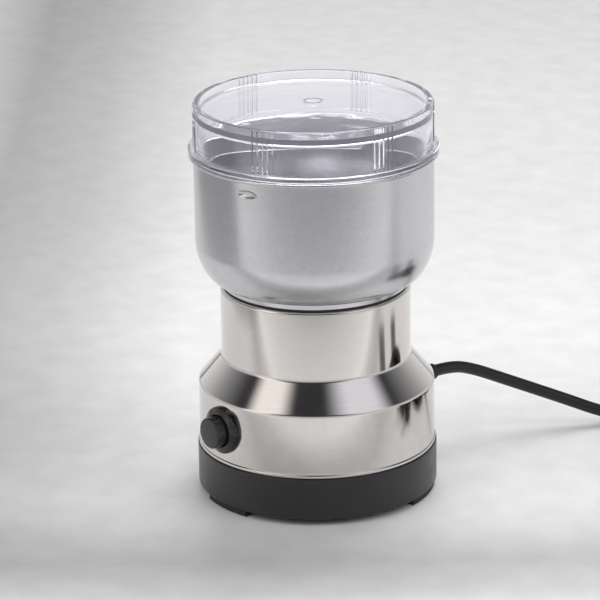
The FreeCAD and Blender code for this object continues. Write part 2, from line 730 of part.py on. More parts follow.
def vent_slots():
    """Radial air slots with round ends through the floor, below the fan."""
    low, high = FEET_TALL - 1, BASE_FLOOR_Z + 1
    half = VENT_WIDE / 2
    bar = block(-half, half, -VENT_OUT_R + half, -VENT_IN_R - half, low, high)
    ends = [disc(half, low, high, polar(r, 0)) for r in (VENT_IN_R + half, VENT_OUT_R - half)]
    return around(join([bar] + ends), [i * FULL_TURN / VENT_COUNT for i in range(VENT_COUNT)])


def base():
    """The tray with screw bosses, clamp posts and air slots."""
    floor = BASE_FLOOR_Z
    boss = disc(BASE_BOSS_R, floor - 0.5, BRACKET_Z, polar(BASE_SCREW_PCD_R, 0))
    hole_r = SCREW_R + SCREW_HOLE_CLEAR
    sink_high = FEET_TALL + SCREW_HEAD_TALL + 0.4
    hole = disc(hole_r, 0, BRACKET_Z + 1, polar(BASE_SCREW_PCD_R, 0))
    sink = disc(SCREW_HEAD_R + 0.3, 0, sink_high, polar(BASE_SCREW_PCD_R, 0))
    saddle_z = CORD_Z - CORD_R
    post_r = CLAMP_POST_R
    posts = [disc(post_r, floor - 0.5, saddle_z, vec(x, CLAMP_Y)) for x in (-CLAMP_POST_X, CLAMP_POST_X)]
    saddle = block(-CLAMP_POST_X, CLAMP_POST_X, CLAMP_Y - 2, CLAMP_Y + 2, saddle_z - 3, saddle_z - 0.2)
    tray = join([base_tray()] + around(boss, BASE_SCREW_AZIMUTHS) + posts + [saddle])
    pilots = [disc(CLAMP_SCREW_R + 0.1, saddle_z - 8, saddle_z + 1, vec(x, CLAMP_Y))
              for x in (-CLAMP_POST_X, CLAMP_POST_X)]
    holes = around(hole, BASE_SCREW_AZIMUTHS) + around(sink, BASE_SCREW_AZIMUTHS)
    nut_way = rod_y(NUT_CORNER_R + NUT_WAY, -BAND_R, -BAND_R + 2 * NUT_THICK, BUTTON_Z)
    return tray.cut(vent_slots() + holes + pilots + [nut_way])


def rubber_feet():
    """Three curved pads under the base's edge, the first below the button."""
    half = math.radians(FOOT_SPAN_DEG / 2)
    pad = revolve([(FOOT_PAD_IN_R, 0), (FOOT_PAD_OUT_R, 0, 0.6), (FOOT_PAD_OUT_R, FEET_TALL),
                   (FOOT_PAD_IN_R, FEET_TALL)])
    reach = BASE_R * 1.5
    wedge = Part.Face(Part.makePolygon([
        ORIGIN, vec(-reach * math.tan(half), -reach), vec(reach * math.tan(half), -reach), ORIGIN]))
    one = pad.common(wedge.extrude(vec(0, 0, FEET_TALL)))
    return around(one, FOOT_AZIMUTHS)


def base_screws():
    """Screws driven up through the base's bosses into the motor's lower bracket."""
    head_z = FEET_TALL + SCREW_HEAD_TALL + 0.3
    screw = pan_screw(SCREW_R, BRACKET_TOP_Z - head_z - 0.5, 0)
    screw.rotate(ORIGIN, X_AXIS, 180)
    screw.translate(polar(BASE_SCREW_PCD_R, 0, head_z))
    return around(screw, BASE_SCREW_AZIMUTHS)


# Push button and switch

def switch_bezel():
    """Round flange that sits on the band, with the threaded barrel behind it."""
    guide = CAP_R + CAP_CLEAR
    catch_bore = CAP_COLLAR_R + CAP_COLLAR_CLEAR
    stem_bore = STEM_R + STEM_CLEAR
    face = -BEZEL_FACE_R
    flange = turned_about_y([(guide, face), (BEZEL_R, face, 0.9), (BEZEL_R, -BAND_R + 2),
                             (guide, -BAND_R + 2)], BUTTON_Z)
    flange = flange.cut(disc(BAND_R + 0.05, BUTTON_Z - 20, BUTTON_Z + 20))
    barrel = turned_about_y([(guide, -BAND_R - 0.8), (BARREL_R, -BAND_R - 0.8),
                             (BARREL_R, -BARREL_END_R), (stem_bore, -BARREL_END_R),
                             (stem_bore, -BARREL_END_R - BARREL_FLOOR),
                             (catch_bore, -BARREL_END_R - BARREL_FLOOR), (catch_bore, -CATCH_R),
                             (guide, -CATCH_R)], BUTTON_Z)
    return join([flange, barrel])


def switch_nut():
    """Hexagon nut that pulls the bezel against the band from inside."""
    flats = 2 * (BARREL_R + NUT_WALL)
    nut = hexagon(flats, 0, NUT_THICK).cut(disc(BARREL_R + 0.05, -1, NUT_THICK + 1))
    nut.rotate(ORIGIN, X_AXIS, -90)
    inner = BAND_R - SHEET
    nut.translate(vec(0, -math.sqrt(inner ** 2 - NUT_CORNER_R ** 2) + 0.1, BUTTON_Z))
    return nut


def button_cap():
    """Domed cap, catch collar and stem in one moulding."""
    collar_y = -CATCH_R + 0.2
    stem_end = -BARREL_END_R + STEM_PAST
    face = turned_about_y([(0, -CAP_FACE_R), (CAP_R - 0.6, -CAP_FACE_R + CAP_CROWN / 2),
                           (CAP_R, -CAP_FACE_R + CAP_CROWN + 0.4), (CAP_R, collar_y),
                           (CAP_COLLAR_R, collar_y), (CAP_COLLAR_R, collar_y + CAP_COLLAR_THICK),
                           (STEM_R, collar_y + CAP_COLLAR_THICK), (STEM_R, stem_end),
                           (0, stem_end)], BUTTON_Z)
    return face


def contact_bridge():
    """Brass bar on the stem's end that closes the two contacts."""
    near = -BARREL_END_R + STEM_PAST
    half = BRIDGE_WIDE / 2
    return block(-half, half, near, near + BRIDGE_THICK, BUTTON_Z - 2, BUTTON_Z + 2)


def helix(radius, wire, length, turns):
    """A round-wire spring standing on z = 0, its line a chain of quarter-turn arcs."""
    quarter = math.pi / 2
    marks = [vec(radius * math.cos(i * quarter), radius * math.sin(i * quarter),
                 i * length / (4 * turns)) for i in range(4 * turns + 1)]
    heading = vec(0, 4 * quarter * radius, length / turns).normalize()
    circle = Part.Wire(Part.Circle(marks[0], heading, wire).toShape())
    edges = []
    for start, end in zip(marks, marks[1:]):
        edge, heading, bend = arc_on(start, heading, end)
        edges.append(edge)
    return Part.Wire(edges).makePipeShell([circle], True, False)


def button_spring():
    """Return spring round the stem, from the barrel's floor to the collar."""
    near = -CATCH_R + 0.2 + CAP_COLLAR_THICK
    far = -BARREL_END_R - BARREL_FLOOR
    rest = far - near - 2 * SPRING_WIRE - 0.2
    spring = helix(SPRING_R, SPRING_WIRE, rest, SPRING_TURNS)
    spring.rotate(ORIGIN, X_AXIS, -90)
    spring.translate(vec(0, near + SPRING_WIRE + 0.1, BUTTON_Z))
    return spring


def switch_housing():
    """Box behind the barrel that encloses the contacts."""
    half_x, half_z = SWITCH_BOX_WIDE / 2, SWITCH_BOX_TALL / 2
    near, far = -BARREL_END_R, -BARREL_END_R + SWITCH_BOX_DEEP
    wall = SWITCH_BOX_WALL
    box = block(-half_x, half_x, near, far, BUTTON_Z - half_z, BUTTON_Z + half_z)
    hollow = block(-half_x + wall, half_x - wall, near + wall - 0.3, far - wall,
                   BUTTON_Z - half_z + wall, BUTTON_Z + half_z - wall)
    stem_way = rod_y(STEM_R + 0.25, near - 1, near + wall + 1, BUTTON_Z)
    leads = [block(x - 2.5, x + 2.5, far - wall - 1, far + 1, BUTTON_Z - 0.5, BUTTON_Z + 0.5)
             for x in (-4.5, 4.5)]
    return box.cut([hollow, stem_way] + leads)


def switch_contacts():
    """Two flat terminals, each with its contact inside and its tab outside."""
    contact = -BARREL_END_R + STEM_PAST + BRIDGE_THICK + BUTTON_TRAVEL + CONTACT_CLEAR
    far = -BARREL_END_R + SWITCH_BOX_DEEP + TERMINAL_LONG
    return [block(x - 2.4, x + 2.4, contact, far, BUTTON_Z - 0.4, BUTTON_Z + 0.4)
            for x in (-4.5, 4.5)]


# Motor

def motor_carrier():
    """Moulded disc below the ledge that holds the upper bush and the stator's pillars."""
    seat_out = BUSH_R + BUSH_SEAT_WALL
    seat_low = CARRIER_HIGH_Z - BUSH_COVER - BUSH_TALL - 1.0
    screw = polar(BOWL_SCREW_PCD_R, 0)
    plate = ring(BUSH_R - 2, CARRIER_R, CARRIER_LOW_Z, CARRIER_HIGH_Z)
    seat = ring(BUSH_R + 0.05, seat_out, seat_low, CARRIER_HIGH_Z)
    boss = disc(CARRIER_BOSS_R, CARRIER_LOW_Z - CARRIER_BOSS_TALL, CARRIER_LOW_Z + 0.1, screw)
    pillar = disc(PILLAR_R, STACK_HIGH_Z, CARRIER_LOW_Z + 0.1, polar(TIE_R, 0))
    body = join([plate.cut(disc(BUSH_R + 0.05, CARRIER_LOW_Z - 1, CARRIER_HIGH_Z - BUSH_COVER)), seat]
                + around(boss, BOWL_SCREW_AZIMUTHS) + around(pillar, TIE_AZIMUTHS))
    screw_hole = disc(SCREW_R + SCREW_HOLE_CLEAR, CARRIER_LOW_Z - CARRIER_BOSS_TALL - 1,
                      CARRIER_HIGH_Z + 1, screw)
    tie_hole = disc(TIE_SCREW_R + 0.1, STACK_HIGH_Z - 1, CARRIER_LOW_Z, polar(TIE_R, 0))
    window = ring(seat_out + 3, TIE_R - PILLAR_R - 1, CARRIER_LOW_Z - 1, CARRIER_HIGH_Z + 1)
    window = window.common(block(-6, 6, -TIE_R, 0, CARRIER_LOW_Z - 1, CARRIER_HIGH_Z + 1))
    return body.cut(around(screw_hole, BOWL_SCREW_AZIMUTHS) + around(tie_hole, TIE_AZIMUTHS)
                    + around(window, (0, 90, 180, 270)))


def rubber_dampers():
    """Rubber washers between the carrier and the ledge, one round each bowl screw."""
    washer = ring(SCREW_R + SCREW_HOLE_CLEAR, DAMPER_R, CARRIER_HIGH_Z, LEDGE_LOW_Z,
                  polar(BOWL_SCREW_PCD_R, 0))
    return around(washer, BOWL_SCREW_AZIMUTHS)


def bush(radius, bore, low, tall):
    """A sintered bush with its ends turned down."""
    edge = 1.0
    return revolve([(bore, low), (radius - edge, low), (radius, low + edge),
                    (radius, low + tall - edge), (radius - edge, low + tall), (bore, low + tall)])


def upper_bush():
    return bush(BUSH_R, SHAFT_R + RUNNING_CLEAR, CARRIER_HIGH_Z - BUSH_COVER - BUSH_TALL, BUSH_TALL)


def lower_bush():
    low = BRACKET_TOP_Z - BUSH_COVER - LOW_BUSH_TALL
    return bush(LOW_BUSH_R, SHAFT_LOW_R + RUNNING_CLEAR, low, LOW_BUSH_TALL)


def lower_bracket():
    """Moulded plate with the lower bush, the brush holders' blocks and four pillars."""
    top = BRACKET_TOP_Z
    seat_low = top - BUSH_COVER - LOW_BUSH_TALL - 1.0
    plate = disc(BRACKET_R, BRACKET_Z, top)
    seat = disc(LOW_BUSH_R + 3.0, seat_low, top)
    holder_low = BRUSH_Z - BRUSH_TALL / 2 - BRUSH_CLEAR - HOLDER_WALL
    half = BRUSH_WIDE / 2 + HOLDER_WALL + 0.6
    blocks = [block(HOLDER_IN_R + 2, BRACKET_R - 3, -half, half, top - 0.1, holder_low)]
    blocks += [block(-BRACKET_R + 3, -HOLDER_IN_R - 2, -half, half, top - 0.1, holder_low)]
    pillar = disc(PILLAR_R, top - 0.1, STACK_LOW_Z, polar(TIE_R, 0))
    leg = disc(BRACKET_LEG_R, BRACKET_Z, top, polar(BASE_SCREW_PCD_R, 0))
    arm = block(-BRACKET_LEG_R, BRACKET_LEG_R, -BASE_SCREW_PCD_R, -BRACKET_R + 4, BRACKET_Z, top)
    body = join([plate, seat] + blocks + around(pillar, TIE_AZIMUTHS)
                + around(leg.fuse(arm), BASE_SCREW_AZIMUTHS))
    bore = disc(LOW_BUSH_R + 0.05, seat_low + 1, top - BUSH_COVER)
    way = disc(SHAFT_LOW_R + 0.6, seat_low - 1, top + 1)
    tie_hole = disc(TIE_SCREW_R + 0.1, BRACKET_Z - 1, STACK_LOW_Z + 1, polar(TIE_R, 0))
    screw_hole = disc(SCREW_R + 0.05, BRACKET_Z - 1, top + 1, polar(BASE_SCREW_PCD_R, 0))
    air = ring(LOW_BUSH_R + 5, BRACKET_R - 8, BRACKET_Z - 1, top + 1)
    air = air.common(block(-5.5, 5.5, -BRACKET_R, 0, BRACKET_Z - 1, top + 1))
    return body.cut([bore, way] + around(tie_hole, TIE_AZIMUTHS) + around(air, (0, 180))
                    + around(screw_hole, BASE_SCREW_AZIMUTHS))


def stator_core():
    """Stack of laminations: two poles, their tips, the yoke with two flats and the tie holes."""
    low, high = STACK_LOW_Z, STACK_HIGH_Z
    reach = STATOR_R + 1
    core = disc(STATOR_R, low, high)
    core = core.common(block(-STATOR_FLAT, STATOR_FLAT, -reach, reach, low, high))
    bore = disc(STATOR_BORE_R, low - 1, high + 1)
    window = ring(STATOR_BORE_R + POLE_TIP, STATOR_R - YOKE, low - 1, high + 1)
    sides = [window.common(block(POLE_HALF, reach, -reach, reach, low - 1, high + 1)),
             window.common(block(-reach, -POLE_HALF, -reach, reach, low - 1, high + 1))]
    gap = block(-STATOR_BORE_R - 2, STATOR_BORE_R + 2, -POLE_GAP_HALF, POLE_GAP_HALF, low - 1, high + 1)
    tie_hole = disc(TIE_SCREW_R + 0.1, low - 1, high + 1, polar(TIE_R, 0))
    return core.cut([bore, gap] + sides + around(tie_hole, TIE_AZIMUTHS))


def field_coils():
    """Two saddle coils, their legs in the stator's windows and their ends bridging each pole."""
    low, high = STACK_LOW_Z - COIL_PROUD, STACK_HIGH_Z + COIL_PROUD
    inner = STATOR_BORE_R + POLE_TIP + COIL_CLEAR
    outer = STATOR_R - YOKE - COIL_CLEAR
    body = revolve([(inner, low, 1.5), (outer, low, 1.5), (outer, high, 1.5), (inner, high, 1.5)])
    near = POLE_GAP_HALF / 2
    half = body.common(block(-outer, outer, -outer, -near, low, high))
    pole = block(-POLE_HALF - COIL_CLEAR, POLE_HALF + COIL_CLEAR, -outer - 1, -near,
                 STACK_LOW_Z - COIL_CLEAR, STACK_HIGH_Z + COIL_CLEAR)
    return around(half.cut(pole), (0, 180))


def tie_screws():
    """Four long screws through the lower bracket's pillars and the stack into the carrier."""
    shank = disc(TIE_SCREW_R, BRACKET_Z - 0.1, CARRIER_LOW_Z - 2, polar(TIE_R, 0))
    head = disc(TIE_SCREW_R * 1.7, BRACKET_Z - 1.8, BRACKET_Z, polar(TIE_R, 0))
    return around(join([shank, head]), TIE_AZIMUTHS)


def motor_shaft():
    """Stepped shaft: lower journal, main length, and the blade's seat with two flats."""
    body = revolve([(0, SHAFT_BOTTOM_Z), (SHAFT_LOW_R, SHAFT_BOTTOM_Z), (SHAFT_LOW_R, SHAFT_STEP_Z),
                    (SHAFT_R, SHAFT_STEP_Z), (SHAFT_R, SHAFT_SHOULDER_Z),
                    (SHAFT_TIP_R, SHAFT_SHOULDER_Z), (SHAFT_TIP_R, SHAFT_TIP_Z - 0.6),
                    (SHAFT_TIP_R - 0.6, SHAFT_TIP_Z), (0, SHAFT_TIP_Z)])
    flat = SHAFT_TIP_R - 0.5
    low, high = SHAFT_SHOULDER_Z, SHAFT_SHOULDER_Z + BLADE_THICK
    cuts = [block(-5, 5, flat, 5, low, high), block(-5, 5, -5, -flat, low, high)]
    return body.cut(cuts)


def armature_core():
    """Slotted stack on the shaft."""
    low, high = STACK_LOW_Z, STACK_HIGH_Z
    body = ring(SHAFT_R, ARMATURE_R, low, high)
    slot = disc(SLOT_R, low - 1, high + 1, polar(SLOT_MID_R, 0))
    mouth = block(-0.8, 0.8, -ARMATURE_R - 1, -SLOT_MID_R, low - 1, high + 1)
    angles = [i * FULL_TURN / ARMATURE_SLOTS for i in range(ARMATURE_SLOTS)]
    return body.cut(around(slot.fuse(mouth), angles))


def armature_winding():
    """Copper in the slots, bulging at both ends of the stack."""
    low, high = STACK_LOW_Z, STACK_HIGH_Z
    bulges = []
    for near, far in ((high + 0.2, high + WINDING_PROUD), (low - WINDING_PROUD, low - 0.2)):
        slope = WINDING_SLOPE
        bulges.append(revolve([(WINDING_IN_R, near), (WINDING_OUT_R - slope, near),
                               (WINDING_OUT_R, near + slope), (WINDING_OUT_R, far - slope),
                               (WINDING_OUT_R - slope, far), (WINDING_IN_R, far)]))
    bar = disc(SLOT_R - 0.2, low - 2, high + 2, polar(SLOT_MID_R - 0.1, 0))
    angles = [i * FULL_TURN / ARMATURE_SLOTS for i in range(ARMATURE_SLOTS)]
    return join(bulges + around(bar, angles))


def commutator():
    """Copper bars parted by fine slits, with a raised collar for the wires."""
    low, high = COMMUTATOR_LOW_Z, COMMUTATOR_HIGH_Z
    body = revolve([(SHAFT_R, low), (COMMUTATOR_R, low), (COMMUTATOR_R, high - 1.2),
                    (COMMUTATOR_R + 1.2, high - 1.2), (COMMUTATOR_R + 1.2, high), (SHAFT_R, high)])
    slit = block(-0.25, 0.25, -COMMUTATOR_R - 2, -COMMUTATOR_R + 1.0, low - 1, high + 1)
    return body.cut(around(slit, [i * FULL_TURN / COMMUTATOR_BARS for i in range(COMMUTATOR_BARS)]))


def brush_holder():
    """Square brass tube with a closed outer end, pointing at the commutator."""
    half_y = BRUSH_WIDE / 2 + BRUSH_CLEAR
    half_z = BRUSH_TALL / 2 + BRUSH_CLEAR
    wall = HOLDER_WALL
    body = block(HOLDER_IN_R, HOLDER_OUT_R, -half_y - wall, half_y + wall,
                 BRUSH_Z - half_z - wall, BRUSH_Z + half_z + wall)
    bore = block(HOLDER_IN_R - 1, HOLDER_OUT_R - wall, -half_y, half_y,
                 BRUSH_Z - half_z, BRUSH_Z + half_z)
    return body.cut(bore)


def carbon_brush():
    """Carbon block, hollowed to the commutator's curve."""
    body = block(0, COMMUTATOR_R + BRUSH_LONG, -BRUSH_WIDE / 2, BRUSH_WIDE / 2,
                 BRUSH_Z - BRUSH_TALL / 2, BRUSH_Z + BRUSH_TALL / 2)
    return body.cut(disc(COMMUTATOR_R + RUNNING_CLEAR, 0, BRUSH_Z * 2))


def brush_spring():
    """Coil spring between the brush and the holder's end."""
    near = COMMUTATOR_R + BRUSH_LONG + BRUSH_SPRING_WIRE + 0.05
    far = HOLDER_OUT_R - HOLDER_WALL - BRUSH_SPRING_WIRE - 0.05
    spring = helix(BRUSH_SPRING_R, BRUSH_SPRING_WIRE, far - near, BRUSH_SPRING_TURNS)
    spring.rotate(ORIGIN, Y_AXIS, 90)
    spring.translate(vec(near, 0, BRUSH_Z))
    return spring


def cooling_fan():
    """Radial fan below the lower bracket: hub, disc and straight blades."""
    hub = disc(FAN_HUB_R, FAN_LOW_Z, FAN_HIGH_Z)
    plate = disc(FAN_R, FAN_HIGH_Z - FAN_DISC, FAN_HIGH_Z)
    half = FAN_BLADE_THICK / 2
    blade = block(-half, half, -FAN_R + 0.5, -FAN_HUB_R + 1, FAN_LOW_Z, FAN_HIGH_Z - FAN_DISC + 0.1)
    angles = [i * FULL_TURN / FAN_BLADES for i in range(FAN_BLADES)]
    return join([hub, plate] + around(blade, angles)).cut(disc(SHAFT_LOW_R, 0, FAN_HIGH_Z + 1))


# Blade

def blade_collar():
    """Collar pressed on the shaft above the seal; it throws powder off the seal."""
    low = SHAFT_SHOULDER_Z - COLLAR_TALL
    return revolve([(SHAFT_R, low), (COLLAR_R, low), (COLLAR_R, SHAFT_SHOULDER_Z - 0.8, 0.5),
                    (COLLAR_R - 1.5, SHAFT_SHOULDER_Z), (SHAFT_R, SHAFT_SHOULDER_Z)])


def blade_section(x, width, pitch, lift):
    """The wing's section at x: ground thin along its leading edge, pitched, and lifted."""
    half, thick = width / 2, BLADE_THICK / 2
    points = [(-half, -thick), (half - BLADE_BEVEL, -thick), (half, thick - 0.3), (half, thick),
              (-half, thick), (-half, -thick)]
    section = Part.makePolygon([vec(x, y, z) for y, z in points])
    section.rotate(vec(x, 0, 0), X_AXIS, pitch)
    section.translate(vec(0, 0, SHAFT_SHOULDER_Z + thick + lift))
    return section


def blade_wing(bend):
    """One wing along +X: flat to the hub's edge, then twisted and bent up by bend degrees."""
    rise = math.tan(math.radians(bend))
    flat_x = BLADE_HUB_R + 0.5
    twist_x = flat_x + BLADE_TWIST_LONG
    stations = [(0.0, BLADE_ROOT_WIDE, 0.0), (flat_x, BLADE_ROOT_WIDE, 0.0),
                (twist_x, BLADE_ROOT_WIDE - 1.0, BLADE_PITCH), (BLADE_REACH, BLADE_TIP_WIDE, BLADE_PITCH)]
    sections = [blade_section(x, width, pitch, max(0.0, x - flat_x) * rise)
                for x, width, pitch in stations]
    wing = Part.makeLoft(sections, True, True)
    return wing.common(disc(BLADE_REACH, SHAFT_SHOULDER_Z - 5, SHAFT_SHOULDER_Z + 25))


def blade():
    """Two wings and a flat hub with a two-flat hole."""
    low, high = SHAFT_SHOULDER_Z, SHAFT_SHOULDER_Z + BLADE_THICK
    hub = disc(BLADE_HUB_R, low, high)
    hole = disc(SHAFT_TIP_R + 0.03, low - 1, high + 1)
    hole = hole.common(block(-5, 5, -SHAFT_TIP_R + 0.47, SHAFT_TIP_R - 0.47, low - 1, high + 1))
    second = turned(blade_wing(0.0), 180)
    return join([hub, blade_wing(BLADE_UP), second]).cut(hole)


def blade_washer():
    low = SHAFT_SHOULDER_Z + BLADE_THICK
    return ring(SHAFT_TIP_R + 0.1, WASHER_R, low, low + WASHER_THICK)


def blade_nut():
    """Domed hexagon nut that clamps the blade."""
    low = SHAFT_SHOULDER_Z + BLADE_THICK + WASHER_THICK
    high = low + BLADE_NUT_TALL
    dome = revolve([(0, low), (NUT_R + 1.0, low), (NUT_R + 1.0, low + 2.4), (NUT_R - 1.2, high, 1.2),
                    (0, high)])
    body = hexagon(NUT_R * math.sqrt(3), low, high).common(dome)
    return body.cut(disc(SHAFT_TIP_R, low - 1, SHAFT_TIP_Z + 0.2))


# Cord entry and cord

def strain_relief():
    """Tapered rubber sleeve with grooves, a flange on the band and a lip inside it."""
    outside = BAND_R
    tip = outside + RELIEF_REACH
    inside = outside - SHEET - RELIEF_INSIDE
    profile = [(0, inside), (RELIEF_TIP_R + 0.3, inside), (RELIEF_TIP_R + 0.3, inside + 2.0),
               (RELIEF_FLANGE_R, inside + 2.4), (RELIEF_FLANGE_R, outside - SHEET - 0.6),
               (CORD_HOLE_R - 0.1, outside - SHEET - 0.6), (CORD_HOLE_R - 0.1, outside),
               (RELIEF_FLANGE_R, outside), (RELIEF_FLANGE_R, outside + RELIEF_FLANGE_THICK, 0.7),
               (RELIEF_ROOT_R, outside + RELIEF_FLANGE_THICK), (RELIEF_TIP_R, tip), (0, tip)]
    body = turned_about_y(profile, CORD_Z)
    first = outside + RELIEF_FLANGE_THICK + 2.0
    step = (tip - first - 1.4) / RELIEF_GROOVES
    grooves = []
    for i in range(RELIEF_GROOVES):
        y = first + i * step
        shallow = CORD_R + 0.7
        grooves.append(turned_about_y([(shallow, y), (RELIEF_ROOT_R + 1, y),
                                       (RELIEF_ROOT_R + 1, y + step * 0.35),
                                       (shallow, y + step * 0.35)], CORD_Z))
    return body.cut(grooves)


def cord_tail():
    """The lead's end inside the base, from the strain relief through the clamp."""
    start = BAND_R - SHEET - RELIEF_INSIDE
    return rod_y(CORD_R, start - CORD_TAIL_LONG, start, CORD_Z)


def cord_clamp():
    """Bar that holds the lead down on the base's saddle."""
    half = CLAMP_WIDE / 2
    low = CORD_Z - CORD_R
    bar = block(-half, half, CLAMP_Y - CLAMP_DEEP / 2, CLAMP_Y + CLAMP_DEEP / 2,
                low, CORD_Z + CORD_R + CLAMP_BAR / 2)
    way = rod_y(CORD_R + 0.1, CLAMP_Y - CLAMP_DEEP, CLAMP_Y + CLAMP_DEEP, CORD_Z)
    slot = block(-CORD_R - 0.1, CORD_R + 0.1, CLAMP_Y - CLAMP_DEEP, CLAMP_Y + CLAMP_DEEP,
                 low - 1, CORD_Z)
    high = CORD_Z + CORD_R + CLAMP_BAR
    holes = [disc(CLAMP_SCREW_R + 0.1, low - 1, high, vec(x, CLAMP_Y))
             for x in (-CLAMP_POST_X, CLAMP_POST_X)]
    return bar.cut([way, slot] + holes)


def clamp_screws():
    top = CORD_Z + CORD_R + CLAMP_BAR / 2
    screws = []
    for x in (-CLAMP_POST_X, CLAMP_POST_X):
        head = disc(CLAMP_SCREW_R * 1.9, top, top + 1.4, vec(x, CLAMP_Y))
        shank = disc(CLAMP_SCREW_R, CORD_Z - CORD_R - 7, top + 0.1, vec(x, CLAMP_Y))
        screws.append(join([head, shank]))
    return screws


def suppression_capacitor():
    """Small sealed block standing on the base's floor."""
    low = BASE_FLOOR_Z
    body = block(-9, 9, -40, -32, low, low + 13)
    corners = [edge for edge in body.Edges if abs(edge.tangentAt(0).z) > 0.9]
    return turned(body.makeFillet(1.2, corners), 120)


def lead_wires():
    """Single wires: clamp to switch, switch to one brush, and clamp to the other brush."""
    wire_r = 0.9
    tail = BAND_R - SHEET - RELIEF_INSIDE - CORD_TAIL_LONG
    tab = -BARREL_END_R + SWITCH_BOX_DEEP + TERMINAL_LONG
    end_x = HOLDER_OUT_R
    z = CORD_Z
    routes = [
        [(1.2, tail, z), (1.2, tail - 3, z), (7, 30, z + 1), (21, 27, z + 4), (32, 12, z + 10),
         (32.5, -8, z + 10), (27, -23, z + 6), (14, -22.4, z + 3), (4.5, -18.4, BUTTON_Z),
         (4.5, tab, BUTTON_Z)],
        [(-1.2, tail, z), (-1.2, tail - 3, z), (-7, 30, z + 1), (-20, 27, z + 2), (-29.5, 14, z + 3),
         (-31.8, 5, z + 3), (-31.6, 0, BRUSH_Z), (-end_x, 0, BRUSH_Z)],
        [(-4.5, tab, BUTTON_Z), (-4.5, -18.6, BUTTON_Z), (4, -15.5, z - 1), (16, -11.5, z - 1),
         (26, -8.8, z), (30.8, -5.5, z + 1.5), (31.8, 0, BRUSH_Z), (end_x, 0, BRUSH_Z)],
    ]
    wires = []
    for route in routes:
        path, radii = soft_path([vec(*point) for point in route])
        wires.append(swept(path, wire_r))
    return wires


def cord_frame():
    """Where the coil starts: the route's last point, its heading and the side it turns to."""
    last, before = vec(*CORD_ROUTE[-1]), vec(*CORD_ROUTE[-2])
    heading = (last - before)
    heading.z = 0
    heading.normalize()
    return last, heading, heading.cross(Z_AXIS)


def coil_marks():
    """The coil's own marks: entry, half turns inwards, the climb, half turns outwards, the end."""
    start, heading, side = cord_frame()
    entry = start + heading * (2 * CORD_R)
    centre = entry + side * COIL_OUT_R
    low, high = start.z, start.z + COIL_LAYER

    def place(across, along, z):
        """A mark from the coil's centre; across points back at the entry, along is the heading."""
        spot = centre - side * across + heading * along
        spot.z = z
        return spot

    reach = COIL_OUT_R
    sign = 1
    marks = [start, entry]
    for turn in range(COIL_IN_HALF_TURNS):
        reach -= COIL_CLIMB_STEP if turn == COIL_IN_HALF_TURNS - 1 else COIL_PITCH / 2
        sign = -sign
        marks.append(place(sign * reach, 0, low))
    climb = math.sqrt(reach ** 2 + (COIL_LAYER / 2) ** 2)
    marks.append(place(0, sign * climb, (low + high) / 2))
    sign = -sign
    marks.append(place(sign * reach, 0, high))
    for turn in range(COIL_OUT_HALF_TURNS):
        reach += COIL_CLIMB_STEP if turn == 0 else COIL_PITCH / 2
        sign = -sign
        marks.append(place(sign * reach, 0, high))
    turned_by = math.radians(COIL_END_TURN_DEG)
    outer = reach + COIL_PITCH / 4
    across = outer * math.cos(turned_by) - COIL_PITCH / 4
    marks.append(place(sign * across, sign * outer * math.sin(turned_by), high - COIL_END_DROP))
    return marks


def coil_path():
    """The coil as one chain of tangent arcs with a straight stub at each end."""
    marks = coil_marks()
    start, entry = marks[0], marks[1]
    edges = [Part.LineSegment(start, entry).toShape()]
    heading = (entry - start).normalize()
    tightest = math.inf
    spot = entry
    for mark in marks[2:]:
        edge, heading, radius = arc_on(spot, heading, mark)
        edges.append(edge)
        tightest = min(tightest, radius)
        spot = mark
    end = spot + heading * (2 * CORD_R)
    edges.append(Part.LineSegment(spot, end).toShape())
    return Part.Wire(edges), end, heading, tightest


def power_cord():
    path, radii = soft_path([vec(*point) for point in CORD_ROUTE])
    tube = swept(path, CORD_R)
    share = tube.Volume / (math.pi * CORD_R ** 2 * path.Length)
    print("cord: radii", [round(r, 1) for r in radii], "length", round(path.Length, 1),
          "volume over section times length", round(share, 4))
    return tube


def least_gap(path, wire_r):
    """The least gap between stretches of a path that lie apart along it, less the wire."""
    count = 900
    points = path.discretize(Number=count)
    apart = int(math.ceil(4 * math.pi * wire_r / (path.Length / count)))
    least = math.inf
    for i in range(count):
        for j in range(i + apart, count):
            least = min(least, points[i].distanceToPoint(points[j]))
    return least - 2 * wire_r


def cord_coil():
    path, end, heading, tightest = coil_path()
    tube = swept(path, CORD_R)
    share = tube.Volume / (math.pi * CORD_R ** 2 * path.Length)
    print("coil: tightest", round(tightest, 1), "length", round(path.Length, 1),
          "volume over section times length", round(share, 4),
          "least gap", round(least_gap(path, CORD_R), 2))
    return tube


def plug_place(shape):
    """Move a plug drawn along +X from its cord end to the coil's end, dipping with the cord."""
    path, end, heading, tightest = coil_path()
    moved = shape.copy()
    moved.rotate(ORIGIN, Y_AXIS, math.degrees(math.asin(-heading.z)))
    moved.rotate(ORIGIN, Z_AXIS, math.degrees(math.atan2(heading.y, heading.x)))
    moved.translate(end)
    return moved


def plug_section(x, wide, thick, corner):
    """The plug's outline at x: a rectangle with its corners cut off."""
    y, z = wide / 2, thick / 2
    points = [(-y + corner, -z), (y - corner, -z), (y, -z + corner), (y, z - corner),
              (y - corner, z), (-y + corner, z), (-y, z - corner), (-y, -z + corner)]
    return Part.makePolygon([vec(x, *point) for point in points + points[:1]])


def plug_face_x():
    return PLUG_RELIEF_LONG + PLUG_GRIP_LONG + PLUG_SHOULDER_LONG + PLUG_FACE_LONG


